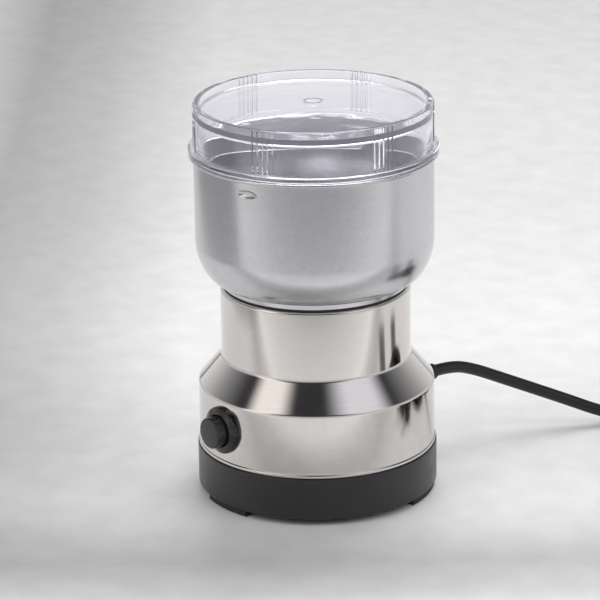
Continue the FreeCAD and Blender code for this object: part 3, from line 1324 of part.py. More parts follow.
def plug_body():
    """Grooved relief, narrow grip, sloping shoulders and the flat front that carries the pins."""
    relief = revolve([(0, 0), (RELIEF_TIP_R, 0), (RELIEF_TIP_R + 1.2, PLUG_RELIEF_LONG),
                      (0, PLUG_RELIEF_LONG)])
    step = (PLUG_RELIEF_LONG - 4) / PLUG_RELIEF_GROOVES
    grooves = [ring(CORD_R + 0.4, RELIEF_TIP_R + 3, 2 + i * step, 2 + (i + 0.4) * step)
               for i in range(PLUG_RELIEF_GROOVES)]
    relief = relief.cut(grooves)
    relief.rotate(ORIGIN, Y_AXIS, 90)
    grip_x = PLUG_RELIEF_LONG
    shoulder_x = grip_x + PLUG_GRIP_LONG
    block_x = shoulder_x + PLUG_SHOULDER_LONG
    corner = PLUG_CORNER
    body = Part.makeLoft([
        plug_section(grip_x, PLUG_GRIP_WIDE - 2, PLUG_GRIP_THICK - 1, corner - 1),
        plug_section(shoulder_x, PLUG_GRIP_WIDE, PLUG_GRIP_THICK, corner - 1),
        plug_section(block_x, PLUG_WIDE, PLUG_THICK, corner),
        plug_section(plug_face_x() - 1, PLUG_WIDE, PLUG_THICK, corner),
        plug_section(plug_face_x(), PLUG_WIDE - 1.6, PLUG_THICK - 1.6, corner)], True, True)
    placed = plug_place(join([relief, body]))
    print("plug: lowest point", round(placed.BoundBox.ZMin, 3))
    return placed


def plug_pins():
    pins = []
    for side in (-1, 1):
        pin = revolve([(0, 0), (PIN_R, 0), (PIN_R, PIN_LONG, 1.2), (0, PIN_LONG)])
        pin.rotate(ORIGIN, Y_AXIS, 90)
        pin.translate(vec(plug_face_x(), side * PIN_SPACING / 2, 0))
        pins.append(plug_place(pin))
    return pins


os.makedirs("parts", exist_ok=True)
export("body_shell", body_shell())
export("bowl", bowl())
export("bowl_gasket", bowl_gasket())
export("bowl_screws", *bowl_screws())
export("shaft_seal", shaft_seal())
export("lid", lid())
export("base", base())
export("rubber_feet", *rubber_feet())
export("base_screws", *base_screws())
export("switch_bezel", switch_bezel())
export("switch_nut", switch_nut())
export("switch_housing", switch_housing())
export("switch_contacts", *switch_contacts())
export("button_cap", button_cap())
export("contact_bridge", contact_bridge())
export("button_spring", button_spring())
export("motor_carrier", motor_carrier())
export("rubber_dampers", *rubber_dampers())
export("upper_bush", upper_bush())
export("lower_bush", lower_bush())
export("lower_bracket", lower_bracket())
export("stator_core", stator_core())
export("field_coils", *field_coils())
export("tie_screws", *tie_screws())
export("motor_shaft", motor_shaft())
export("armature_core", armature_core())
export("armature_winding", armature_winding())
export("commutator", commutator())
export("brush_holders", *around(brush_holder(), (0, 180)))
export("carbon_brushes", *around(carbon_brush(), (0, 180)))
export("brush_springs", *around(brush_spring(), (0, 180)))
export("cooling_fan", cooling_fan())
export("blade_collar", blade_collar())
export("blade", blade())
export("blade_washer", blade_washer())
export("blade_nut", blade_nut())
export("strain_relief", strain_relief())
export("cord_tail", cord_tail())
export("cord_clamp", cord_clamp())
export("clamp_screws", *clamp_screws())
export("suppression_capacitor", suppression_capacitor())
export("lead_wires", *lead_wires())
export("power_cord", power_cord())
export("cord_coil", cord_coil())
export("plug_body", plug_body())
export("plug_pins", *plug_pins())
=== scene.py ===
import math

import bmesh
import bpy
from mathutils import Matrix, Vector


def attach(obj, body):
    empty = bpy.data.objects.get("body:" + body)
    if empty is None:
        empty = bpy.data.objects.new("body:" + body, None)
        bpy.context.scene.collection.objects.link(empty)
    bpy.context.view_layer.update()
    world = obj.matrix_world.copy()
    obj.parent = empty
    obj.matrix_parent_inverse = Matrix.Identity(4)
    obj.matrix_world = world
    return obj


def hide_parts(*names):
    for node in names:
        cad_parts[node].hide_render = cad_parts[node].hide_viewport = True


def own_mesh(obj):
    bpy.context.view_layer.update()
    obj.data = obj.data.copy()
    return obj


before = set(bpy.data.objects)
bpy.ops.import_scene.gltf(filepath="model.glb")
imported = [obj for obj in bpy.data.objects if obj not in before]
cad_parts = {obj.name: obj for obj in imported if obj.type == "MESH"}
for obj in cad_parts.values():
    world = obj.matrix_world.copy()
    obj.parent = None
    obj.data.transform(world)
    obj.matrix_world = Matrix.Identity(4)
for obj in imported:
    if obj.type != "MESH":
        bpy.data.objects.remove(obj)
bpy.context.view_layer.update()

# Electric spice grinder: clear lid, satin steel bowl, polished steel body, dark moulded base.
# Pieces are drawn in millimetres about the motor's axis, then put in metres where they belong.
scene = bpy.context.scene

MM = 0.001
AXIS_Y = 2.65          # the motor's axis stands this far behind the middle of the underside
FULL_TURN = 2 * math.pi
Z_AXIS = Vector((0, 0, 1))
ON_AXIS = Matrix.Translation((0, AXIS_Y, 0))
BUTTON_Z = 35.6        # the button's middle
RELIEF_Z = 34.4        # the strain relief's middle
FACING_BACK = Matrix.Rotation(-math.pi / 2, 4, "X")
AT_BUTTON = Matrix.Translation((0, AXIS_Y, BUTTON_Z)) @ FACING_BACK
AT_RELIEF = Matrix.Translation((0, AXIS_Y, RELIEF_Z)) @ FACING_BACK


# Camera, at the photograph's angle

CAMERA_AZIMUTH = 52    # degrees from the front, towards +X
CAMERA_AWAY, CAMERA_HEIGHT, CAMERA_AIM_HEIGHT = 1.300, 0.5277, 0.0815    # metres
CAMERA_TILT = math.radians(-0.75)
SENSOR_WIDTH, LENS, SHIFT_ACROSS = 36, 196.5, -0.026


def stand_camera():
    """Puts the camera where the photograph was taken from, aimed at the motor's axis."""
    azimuth, axis_y = math.radians(CAMERA_AZIMUTH), AXIS_Y * MM
    eye = Vector((CAMERA_AWAY * math.sin(azimuth), axis_y - CAMERA_AWAY * math.cos(azimuth), CAMERA_HEIGHT))
    back = (eye - Vector((0, axis_y, CAMERA_AIM_HEIGHT))).normalized()
    right = Z_AXIS.cross(back).normalized()
    up = back.cross(right)
    across = math.cos(CAMERA_TILT) * right + math.sin(CAMERA_TILT) * up
    over = math.cos(CAMERA_TILT) * up - math.sin(CAMERA_TILT) * right
    data = bpy.data.cameras.new("camera")
    data.sensor_width, data.lens, data.shift_x = SENSOR_WIDTH, LENS, SHIFT_ACROSS
    camera = bpy.data.objects.new("camera", data)
    camera.matrix_world = Matrix.Translation(eye) @ Matrix((across, over, back)).transposed().to_4x4()
    scene.collection.objects.link(camera)
    scene.camera = camera


stand_camera()
scene.view_settings.view_transform = "Standard"


# Colours and nodes

def colour(code):
    """The linear colour, with alpha, for an sRGB hex code."""
    levels = [int(code[i:i + 2], 16) / 255 for i in (1, 3, 5)]
    return tuple(v / 12.92 if v <= 0.04045 else ((v + 0.055) / 1.055) ** 2.4 for v in levels) + (1.0,)


def add(tree, kind, sockets=None, **settings):
    """Adds one node with its settings, and fills or links its sockets."""
    node = tree.nodes.new("ShaderNode" + kind)
    for name, value in settings.items():
        setattr(node, name, value)
    for name, value in (sockets or {}).items():
        if isinstance(value, bpy.types.NodeSocket):
            tree.links.new(value, node.inputs[name])
        else:
            node.inputs[name].default_value = value
    return node


def new_material(name):
    """A material with an empty tree, its output, and its Object coordinates in millimetres."""
    material = bpy.data.materials.new(name)
    material.use_nodes = True
    tree = material.node_tree
    tree.nodes.clear()
    output = add(tree, "OutputMaterial")
    place = add(tree, "TexCoord").outputs["Object"]
    mm = add(tree, "VectorMath", {0: place, "Scale": 1 / MM}, operation="SCALE").outputs[0]
    return material, tree, output, mm


def speckle(tree, mm, size, stretch=(1, 1, 1), detail=2.0, spread=(0.35, 0.65)):
    """Noise from 0 to 1 whose grains are about size millimetres, longer where stretch is over 1."""
    squeeze = tuple(1 / (size * s) for s in stretch)
    spots = add(tree, "Mapping", {"Vector": mm, "Scale": squeeze}).outputs[0]
    noise = add(tree, "TexNoise", {"Vector": spots, "Scale": 1.0, "Detail": detail}).outputs[0]
    return add(tree, "MapRange", {"Value": noise, "From Min": spread[0], "From Max": spread[1]}).outputs[0]


def polar_mm(tree, mm, radius):
    """Coordinates that follow a turned wall: round it, unused, and up it, in millimetres."""
    centred = add(tree, "VectorMath", {0: mm, 1: (0, AXIS_Y, 0)}, operation="SUBTRACT").outputs[0]
    parts = add(tree, "SeparateXYZ", {0: centred})
    angle = add(tree, "Math", {0: parts.outputs[1], 1: parts.outputs[0]}, operation="ARCTAN2").outputs[0]
    round_mm = add(tree, "Math", {0: angle, 1: radius}, operation="MULTIPLY").outputs[0]
    return add(tree, "CombineXYZ", {0: round_mm, 2: parts.outputs[2]}).outputs[0]


# Materials

PLASTIC_IOR = 1.5
WEAR_SIZE = 9.0        # millimetres across the soft changes of tone on mouldings
BAND_R = 49.8          # the steel band's and the bowl's radius, which their patterns follow


def metal(name, pale, dark, rough, grain, stretch, deep, clouds=14.0, turned_r=None):
    """A bare metal: colour and roughness vary in soft clouds, and tooling lines run along stretch."""
    material, tree, output, mm = new_material(name)
    place = polar_mm(tree, mm, turned_r) if turned_r else mm
    lines = speckle(tree, place, grain, stretch)
    cloud = speckle(tree, mm, clouds, detail=3.0)
    share = add(tree, "Math", {0: lines, 1: cloud}, operation="MULTIPLY").outputs[0]
    tone = add(tree, "Mix", {0: share, 6: colour(dark), 7: colour(pale)}, data_type="RGBA").outputs[2]
    gloss = add(tree, "MapRange", {"Value": cloud, "To Min": rough[0], "To Max": rough[1]}).outputs[0]
    grooves = add(tree, "Bump", {"Height": lines, "Distance": deep * MM}).outputs[0]
    shader = add(tree, "BsdfPrincipled", {
        "Base Color": tone, "Metallic": 1.0, "Roughness": gloss, "Normal": grooves})
    tree.links.new(shader.outputs[0], output.inputs["Surface"])
    return material


def plastic(name, pale, dark, rough, grain, deep, soft=0.0):
    """A moulded plastic or rubber: fine mould grain, soft changes of tone, a little handling wear."""
    material, tree, output, mm = new_material(name)
    fine = speckle(tree, mm, grain)
    cloud = speckle(tree, mm, WEAR_SIZE, detail=3.0)
    tone = add(tree, "Mix", {0: cloud, 6: colour(dark), 7: colour(pale)}, data_type="RGBA").outputs[2]
    gloss = add(tree, "MapRange", {"Value": cloud, "To Min": rough[0], "To Max": rough[1]}).outputs[0]
    texture = add(tree, "Bump", {"Height": fine, "Distance": deep * MM}).outputs[0]
    shader = add(tree, "BsdfPrincipled", {
        "Base Color": tone, "IOR": PLASTIC_IOR, "Roughness": gloss, "Normal": texture,
        "Subsurface Weight": soft, "Subsurface Scale": MM})
    tree.links.new(shader.outputs[0], output.inputs["Surface"])
    return material


def satin_stainless_bowl():
    """Stainless steel, satin buffed: pearly, fine crossing hairlines, its rolled rim polished bright."""
    material, tree, output, mm = new_material("stainless_steel_satin_buffed")
    wall = polar_mm(tree, mm, BAND_R)
    slant = add(tree, "Mapping", {"Vector": wall, "Rotation": (0, math.radians(38), 0)}).outputs[0]
    cross = add(tree, "Mapping", {"Vector": wall, "Rotation": (0, math.radians(-52), 0)}).outputs[0]
    # real buffing lines are near 0.05 mm apart, drawn at 0.4 mm so that they show
    hairs = speckle(tree, slant, 0.38, (14, 1, 1), 1.0)
    crossing = speckle(tree, cross, 0.42, (9, 1, 1), 1.0)
    cloud = speckle(tree, mm, 17.0, (1, 1, 1.6), 3.0)
    both = add(tree, "Math", {0: hairs, 1: crossing}, operation="ADD").outputs[0]
    share = add(tree, "Math", {0: both, 1: 0.5}, operation="MULTIPLY").outputs[0]
    height = add(tree, "SeparateXYZ", {0: mm}).outputs[2]
    rolled = add(tree, "MapRange", {"Value": height, "From Min": 145.4, "From Max": 145.9}).outputs[0]
    satin = add(tree, "MapRange", {"Value": cloud, "To Min": 0.20, "To Max": 0.25}).outputs[0]
    rough = add(tree, "Mix", {0: rolled, 2: satin, 3: 0.09}).outputs[0]
    tone = add(tree, "Mix", {0: share, 6: colour("#c0c0c2"), 7: colour("#cfcfd1")}, data_type="RGBA")
    shader = add(tree, "BsdfPrincipled", {
        "Base Color": tone.outputs[2], "Metallic": 1.0, "Roughness": rough, "Anisotropic": 0.25,
        "Tangent": add(tree, "Tangent", direction_type="RADIAL", axis="Z").outputs[0],
        "Normal": add(tree, "Bump", {"Height": share, "Distance": 0.0045 * MM}).outputs[0]})
    tree.links.new(shader.outputs[0], output.inputs["Surface"])
    return material


def polished_stainless_body():
    """Stainless steel, drawn and polished on a lathe: bright, with faint lines round the axis."""
    material, tree, output, mm = new_material("stainless_steel_drawn_polished")
    wall = polar_mm(tree, mm, BAND_R)
    # real polishing lines are under 0.05 mm apart, drawn at 0.25 mm so that they show
    lines = speckle(tree, wall, 0.25, (60, 1, 1), 1.0)
    cloud = speckle(tree, mm, 12.0, (1, 1, 0.7), 3.0)
    smears = speckle(tree, mm, 5.0, detail=4.0, spread=(0.45, 0.75))
    polish = add(tree, "MapRange", {"Value": cloud, "To Min": 0.07, "To Max": 0.10}).outputs[0]
    dulled = add(tree, "MapRange", {"Value": smears, "To Max": 0.02}).outputs[0]
    rough = add(tree, "Math", {0: polish, 1: dulled}, operation="ADD").outputs[0]
    tone = add(tree, "Mix", {0: lines, 6: colour("#d1cdc9"), 7: colour("#d6d2ce")}, data_type="RGBA")
    shader = add(tree, "BsdfPrincipled", {
        "Base Color": tone.outputs[2], "Metallic": 1.0, "Roughness": rough, "Anisotropic": 0.35,
        "Tangent": add(tree, "Tangent", direction_type="RADIAL", axis="Z").outputs[0],
        "Normal": add(tree, "Bump", {"Height": lines, "Distance": 0.0004 * MM}).outputs[0]})
    tree.links.new(shader.outputs[0], output.inputs["Surface"])
    return material


def clear_lid_plastic():
    """SAN, injection moulded clear: glossy, faintly violet, lamps shine through to the bowl."""
    material, tree, output, mm = new_material("san_moulded_clear")
    flow = speckle(tree, mm, 30.0)
    # the faint glow lifts a black band that the plate's edge would show
    shader = add(tree, "BsdfPrincipled", {
        "Base Color": colour("#fbfbfe"), "Transmission Weight": 1.0, "IOR": PLASTIC_IOR,
        "Roughness": 0.015, "Normal": add(tree, "Bump", {"Height": flow, "Distance": 0.05 * MM}).outputs[0],
        "Emission Color": colour("#e6e5f4"), "Emission Strength": 0.032})
    let_by = add(tree, "BsdfTransparent", {"Color": colour("#f8f8fb")})
    path = add(tree, "LightPath")
    mix = add(tree, "MixShader", {0: path.outputs["Is Shadow Ray"], 1: shader.outputs[0],
                                  2: let_by.outputs[0]})
    tree.links.new(mix.outputs[0], output.inputs["Surface"])
    return material


BOWL_STEEL = satin_stainless_bowl()
BODY_STEEL = polished_stainless_body()
LID_PLASTIC = clear_lid_plastic()
# ABS, moulded against a fine spark-eroded tool: charcoal with a low satin sheen
BASE_ABS = plastic("abs_moulded_satin_charcoal", "#242426", "#202022", (0.30, 0.38), 0.35, 0.005)
# ABS, moulded against a polished tool: black and glossy, for the bezel
BEZEL_ABS = plastic("abs_moulded_gloss_black", "#1c1c1d", "#171718", (0.12, 0.18), 0.6, 0.002)
# ABS, moulded with a fine texture worn smooth by fingers: the button's satin black
BUTTON_ABS = plastic("abs_moulded_matt_black", "#232325", "#1e1e20", (0.20, 0.27), 0.25, 0.004)
# nylon, moulded: dark and slightly waxy, for the switch's hidden pieces and the collar
BLACK_NYLON = plastic("nylon_moulded_black", "#222224", "#1b1b1d", (0.35, 0.5), 0.4, 0.006)
# nylon, moulded without pigment: milky cream
PLAIN_NYLON = plastic("nylon_moulded_natural", "#e3dcc8", "#d8d0ba", (0.32, 0.45), 0.5, 0.006, soft=0.15)
# rubber, moulded: matt black with a powdery bloom
RUBBER = plastic("nbr_rubber_moulded", "#242424", "#191919", (0.6, 0.75), 0.5, 0.012)
# soft PVC, extruded: matt black with a faint sheen
CORD_PVC = plastic("pvc_extruded_black", "#1b1b1c", "#141415", (0.38, 0.5), 0.5, 0.008)
# PVC, moulded on the cord's end
PLUG_PVC = plastic("pvc_moulded_black", "#1e1e1f", "#171718", (0.36, 0.48), 0.35, 0.01)
# polypropylene film in a moulded case: the capacitor's dull yellow
CAPACITOR_CASE = plastic("pbt_moulded_yellow", "#c9a53a", "#bb962c", (0.35, 0.5), 0.5, 0.006)
# PVC over stranded copper: the leads' blue-grey
WIRE_PVC = plastic("pvc_extruded_wire", "#4a5a78", "#3f4d69", (0.35, 0.45), 0.5, 0.004)
# carbon, pressed and fired: sooty, with fine sparkle
CARBON = plastic("carbon_pressed_fired", "#2b2b2c", "#1d1d1e", (0.55, 0.75), 0.2, 0.01)
# hardened stainless, blanked and ground: the blade's fine straight grinding lines
BLADE_STEEL = metal("stainless_steel_ground", "#d3d2d0", "#b9b8b6", (0.16, 0.24), 0.16, (1, 30, 1), 0.004)
# steel, zinc plated: bluish and slightly cloudy
ZINC_STEEL = metal("steel_zinc_plated", "#cfd1d4", "#b3b6ba", (0.25, 0.4), 0.5, (1, 1, 1), 0.004, clouds=3.0)
# spring steel, hard drawn: darker, with lines along the wire
SPRING_STEEL = metal("spring_steel_drawn", "#a9a9ab", "#8f8f92", (0.25, 0.35), 0.2, (1, 1, 6), 0.003)
# carbon steel, centreless ground: bright, with fine rings round the axis
SHAFT_STEEL = metal("steel_centreless_ground", "#c9c9c8", "#b0b0af", (0.14, 0.22), 0.15, (60, 1, 1), 0.003,
                    turned_r=4.0)
# electrical steel, stamped and stacked: dark sheets 0.5 mm thick
CORE_STEEL = metal("electrical_steel_stacked", "#8f8d8a", "#54524f", (0.4, 0.55), 0.5, (60, 60, 1), 0.05)
# copper, enamelled winding wire: warm brown-orange and glossy, wires 0.4 mm thick
COIL_COPPER = metal("copper_enamelled_wound", "#c46a3a", "#7d3c1e", (0.22, 0.34), 0.4, (20, 20, 1), 0.08)
# copper, drawn bars: bright where the brushes run
BAR_COPPER = metal("copper_drawn_turned", "#d98c66", "#b56e4c", (0.2, 0.35), 0.2, (40, 1, 1), 0.004,
                   turned_r=9.0)
# brass, stamped: pale yellow with rolling lines
BRASS = metal("brass_stamped", "#d2b469", "#b89a52", (0.22, 0.34), 0.2, (12, 1, 1), 0.004)
# bronze, sintered: brown with open pores
BRONZE = metal("bronze_sintered", "#a9824f", "#7f5f38", (0.4, 0.55), 0.25, (1, 1, 1), 0.02)
# brass, nickel plated: the pins' warm silver
PIN_METAL = metal("brass_nickel_plated", "#cfcabf", "#bab5aa", (0.12, 0.2), 0.3, (1, 1, 8), 0.002)

NODE_MATERIALS = {
    "bowl": BOWL_STEEL, "body_shell": BODY_STEEL, "lid": LID_PLASTIC, "base": BASE_ABS,
    "bowl_gasket": RUBBER, "shaft_seal": RUBBER, "rubber_feet": RUBBER, "rubber_dampers": RUBBER,
    "strain_relief": RUBBER, "switch_bezel": BEZEL_ABS, "button_cap": BUTTON_ABS,
    "switch_nut": BLACK_NYLON, "switch_housing": BLACK_NYLON, "blade_collar": BLACK_NYLON,
    "cord_clamp": BLACK_NYLON, "cord_tail": CORD_PVC, "power_cord": CORD_PVC, "cord_coil": CORD_PVC,
    "plug_body": PLUG_PVC, "plug_pins": PIN_METAL, "motor_carrier": PLAIN_NYLON,
    "lower_bracket": PLAIN_NYLON, "cooling_fan": PLAIN_NYLON,
    "suppression_capacitor": CAPACITOR_CASE, "lead_wires": WIRE_PVC, "bowl_screws": ZINC_STEEL,
    "base_screws": ZINC_STEEL, "tie_screws": ZINC_STEEL, "clamp_screws": ZINC_STEEL,
    "button_spring": SPRING_STEEL, "brush_springs": SPRING_STEEL, "motor_shaft": SHAFT_STEEL,
    "stator_core": CORE_STEEL, "armature_core": CORE_STEEL, "field_coils": COIL_COPPER,
    "armature_winding": COIL_COPPER, "commutator": BAR_COPPER, "switch_contacts": BRASS,
    "contact_bridge": BRASS, "brush_holders": BRASS, "upper_bush": BRONZE, "lower_bush": BRONZE,
    "carbon_brushes": CARBON, "blade": BLADE_STEEL, "blade_washer": BLADE_STEEL,
    "blade_nut": BLADE_STEEL,
}
for node_name, material in NODE_MATERIALS.items():
    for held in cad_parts[node_name].material_slots:
        held.material = material


# Mesh tools

def trace(bm, corners, closed=True, segments=6):
    """Draws a profile at the front, (radius, height, rounding), with true arcs at its corners."""
    spots = [Vector((0, -corner[0], corner[1])) for corner in corners]
    ends = []
    for i, corner in enumerate(corners):
        here = spots[i]
        if len(corner) < 3 or not corner[2]:
            vert = bm.verts.new(here)
            ends.append((vert, vert))
            continue
        to_last = (spots[i - 1] - here).normalized()
        to_next = (spots[(i + 1) % len(spots)] - here).normalized()
        half = to_last.angle(to_next) / 2
        centre = here + (to_last + to_next).normalized() * (corner[2] / math.sin(half))
        first = bm.verts.new(here + to_last * (corner[2] / math.tan(half)))
        goal = here + to_next * (corner[2] / math.tan(half))
        ends.append((first, sweep_corner(bm, first, centre, goal, segments)))
    for i in range(len(ends) - (0 if closed else 1)):
        bm.edges.new((ends[i][1], ends[(i + 1) % len(ends)][0]))


def sweep_corner(bm, first, centre, goal, segments):
    """Spins a vertex about centre to goal, and gives the last vertex."""
    start, end = first.co - centre, goal - centre
    swept = bmesh.ops.spin(bm, geom=[first], cent=centre, axis=start.cross(end).normalized(),
                           angle=start.angle(end), steps=segments, use_duplicate=False)
    return next(item for item in swept["geom_last"] if isinstance(item, bmesh.types.BMVert))


def turn(bm, stops, copies=1):
    """Spins the traced profile about Z through its stops, in degrees, and repeats that share of a turn."""
    gaps = [after - before for before, after in zip(stops, stops[1:])]
    last = bm.verts[:] + bm.edges[:]
    while gaps:
        count = next((i for i, gap in enumerate(gaps) if abs(gap - gaps[0]) > 1e-6), len(gaps))
        run = bmesh.ops.spin(bm, geom=last, cent=(0, 0, 0), axis=Z_AXIS,
                             angle=math.radians(sum(gaps[:count])), steps=count, use_duplicate=False)
        last, gaps = run["geom_last"], gaps[count:]
    share = bpy.data.meshes.new("share_of_a_turn")
    bm.to_mesh(share)
    for i in range(1, copies):
        share.transform(Matrix.Rotation(FULL_TURN / copies, 4, "Z"))
        bm.from_mesh(share)
    bpy.data.meshes.remove(share)


def turn_evenly(bm, steps=256):
    """Spins the traced profile about Z in equal steps."""
    shares = 8
    turn(bm, [i * 360 / steps for i in range(steps // shares + 1)], shares)


def close_up(bm):
    """Merges doubles at seams and poles and points the faces outwards."""
    bmesh.ops.remove_doubles(bm, verts=bm.verts, dist=0.001)
    bmesh.ops.dissolve_degenerate(bm, dist=0.0001, edges=bm.edges)
    bmesh.ops.recalc_face_normals(bm, faces=bm.faces)


def put(name, bm, place, sharp=30.0):
    """Makes an object of a mesh drawn in millimetres, smooth but for edges over sharp degrees."""
    close_up(bm)
    bm.transform(Matrix.Scale(MM, 4) @ place)
    mesh = bpy.data.meshes.new(name)
    bm.to_mesh(mesh)
    bm.free()
    for face in mesh.polygons:
        face.use_smooth = True
    mesh.set_sharp_from_angle(angle=math.radians(sharp))
    piece = bpy.data.objects.new(name, mesh)
    scene.collection.objects.link(piece)
    return piece


def cut(piece, cutters, sharp=30.0):
    """Cuts a mesh of closed cutters, in millimetres, out of a piece."""
    tool = put(piece.name + "_cutter", cutters, Matrix())
    knife = piece.modifiers.new("cut", "BOOLEAN")
    knife.operation, knife.solver, knife.object = "DIFFERENCE", "EXACT", tool
    solid = bpy.data.meshes.new_from_object(piece.evaluated_get(bpy.context.evaluated_depsgraph_get()))
    piece.modifiers.clear()
    piece.data = solid
    for face in solid.polygons:
        face.use_smooth = True
    solid.set_sharp_from_angle(angle=math.radians(sharp))
    bpy.data.objects.remove(tool)


def stand_for(piece, material, slot, body, *nodes):
    """Gives a piece its finish and its body, and hides the nodes it stands for."""
    piece.data.materials.clear()
    piece.data.materials.append(material)
    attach(piece, body)
    if nodes:
        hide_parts(*nodes)
    return piece


def rod(bm, radius, low, high, place, sides=64):
    """A closed round bar along Z between low and high, moved by place."""
    bmesh.ops.create_cone(bm, cap_ends=True, segments=sides, radius1=radius, radius2=radius,
                          depth=high - low,
                          matrix=place @ Matrix.Translation((0, 0, (low + high) / 2)))


def polar(azimuth, radius):
    """The place at an azimuth from the front, turned with it."""
    return Matrix.Rotation(math.radians(azimuth), 4, "Z") @ Matrix.Translation((0, -radius, 0))


# Body shell: neck, shoulder and band drawn from one sheet, with a hem at the bottom

SHEET = 0.8
NECK_R = 39.9
HEM_R, HEM_LOW_Z, HEM_TOP_Z = 50.3, 20.7, 22.2
SHOULDER_LOW_Z, SHOULDER_TOP_Z, NECK_TOP_Z = 47.9, 59.5, 89.4
BEND_DROP = 0.295      # the sheet's inner face bends this much lower than its outer one
ROOF_HOLE_R = 27.0
BUTTON_HOLE_R, RELIEF_HOLE_R = 8.7, 4.4
SCREW_AZIMUTHS, SCREW_CIRCLE_R, SCREW_HOLE_R = (0, 120, 240), 33.0, 2.1


def body_shell():
    """The whole sheet, turned from its profile, then cut for the button, the cord and three screws."""
    bm = bmesh.new()
    band_rows = [(BAND_R, 23.5 + 1.2 * i) for i in range(20)]
    hem = [(HEM_R, HEM_LOW_Z, 0.5), (HEM_R, HEM_TOP_Z, 0.5), (BAND_R, HEM_TOP_Z, 0.15)]
    outside = [(BAND_R, SHOULDER_LOW_Z, 1.9), (NECK_R, SHOULDER_TOP_Z, 2.0), (NECK_R, NECK_TOP_Z, 1.5)]
    inside = [(ROOF_HOLE_R, NECK_TOP_Z, 0.2), (ROOF_HOLE_R, NECK_TOP_Z - SHEET, 0.2),
              (NECK_R - SHEET, NECK_TOP_Z - SHEET, 0.7), (NECK_R - SHEET, SHOULDER_TOP_Z - BEND_DROP, 2.8),
              (BAND_R - SHEET, SHOULDER_LOW_Z - BEND_DROP, 1.1), (BAND_R - SHEET, HEM_LOW_Z)]
    trace(bm, hem + band_rows + outside + inside, segments=8)
    turn_evenly(bm, 256)
    shell = put("body_shell_drawn", bm, ON_AXIS)
    holes = bmesh.new()
    rod(holes, BUTTON_HOLE_R, -56, -38, Matrix.Translation((0, 0, BUTTON_Z)) @ FACING_BACK)
    rod(holes, RELIEF_HOLE_R, 38, 56, Matrix.Translation((0, 0, RELIEF_Z)) @ FACING_BACK)
    for azimuth in SCREW_AZIMUTHS:
        rod(holes, SCREW_HOLE_R, 87, 91, polar(azimuth, SCREW_CIRCLE_R), 32)
    holes.transform(ON_AXIS)
    cut(shell, holes)
    stand_for(shell, BODY_STEEL, "body_steel", "housing", "body_shell")


# Bowl: one spun sheet with a stepped foot, a rolled bead and two pressed dimples

BOWL_TOP_Z, BEAD_R, BEAD_LOW_Z, BEAD_ROUND = 147.4, 51.8, 145.8, 0.78
SIDE_CURVE_CENTRE, SIDE_CURVE_R = (26.2, 110.025), 23.6
FOOT_CURVE_CENTRE, FOOT_CURVE_R = (37.586, 102.052), 9.7
FOOT_R, FOOT_TOP_Z, FOOT_LOW_Z, SHAFT_HOLE_R = 39.0, 92.5, 90.3, 9.0
DIMPLE_AZIMUTH = 19.0
DIMPLE_Z, DIMPLE_LONG, DIMPLE_TALL, DIMPLE_DEEP = 140.9, 10.0, 3.6, 1.2
DIMPLE_REACH_R = 48.5  # only the side is further out than this, not the foot or the floor


def arc_points(centre, radius, first, last, count):
    """Corners along an arc in the profile, angles in degrees below the horizontal."""
    points = []
    for i in range(count + 1):
        angle = math.radians(first + (last - first) * i / count)
        points.append((centre[0] + radius * math.cos(angle), centre[1] - radius * math.sin(angle)))
    return points


def bowl_side(inset):
    """The side's line from the bead down to the foot, inset from the outside."""
    # rows are close together at the dimples, so that pressing them leaves smooth edges
    heights = [144.5] + [143.2 - 0.3 * i for i in range(16)] + [137.5, 134.0, 128.0, 122.0, 116.0]
    rows = [(BAND_R - inset, height) for height in heights]
    rows += arc_points(SIDE_CURVE_CENTRE, SIDE_CURVE_R - inset, 0, 35, 18)
    return rows + arc_points(FOOT_CURVE_CENTRE, FOOT_CURVE_R - inset, 35, 80, 16)[1:]


def press_dimples(bm):
    """Presses both dimples inwards, through both faces of the sheet."""
    for vert in bm.verts:
        radius = math.hypot(vert.co.x, vert.co.y)
        up = (vert.co.z - DIMPLE_Z) / (DIMPLE_TALL / 2)
        if radius < DIMPLE_REACH_R or abs(up) >= 1:
            continue
        azimuth = math.degrees(math.atan2(vert.co.x, -vert.co.y))
        for middle in (DIMPLE_AZIMUTH, DIMPLE_AZIMUTH - 180):
            along = math.radians(azimuth - middle) * BAND_R / (DIMPLE_LONG / 2)
            reach = math.hypot(along, up)
            if reach < 1:
                deep = DIMPLE_DEEP * (1 - reach ** 3) ** 1.2
                vert.co.xy *= (radius - deep) / radius


def column_stops(marks, widest, end):
    """Azimuths from 0 to end: every mark, with the gaps between marks split evenly."""
    stops = [0.0]
    for mark in sorted(marks) + [end]:
        gap = mark - stops[-1]
        if gap < 1e-6:
            continue
        start, pieces = stops[-1], max(1, math.ceil(gap / widest))
        stops += [start + gap * (i + 1) / pieces for i in range(pieces)]
    return stops


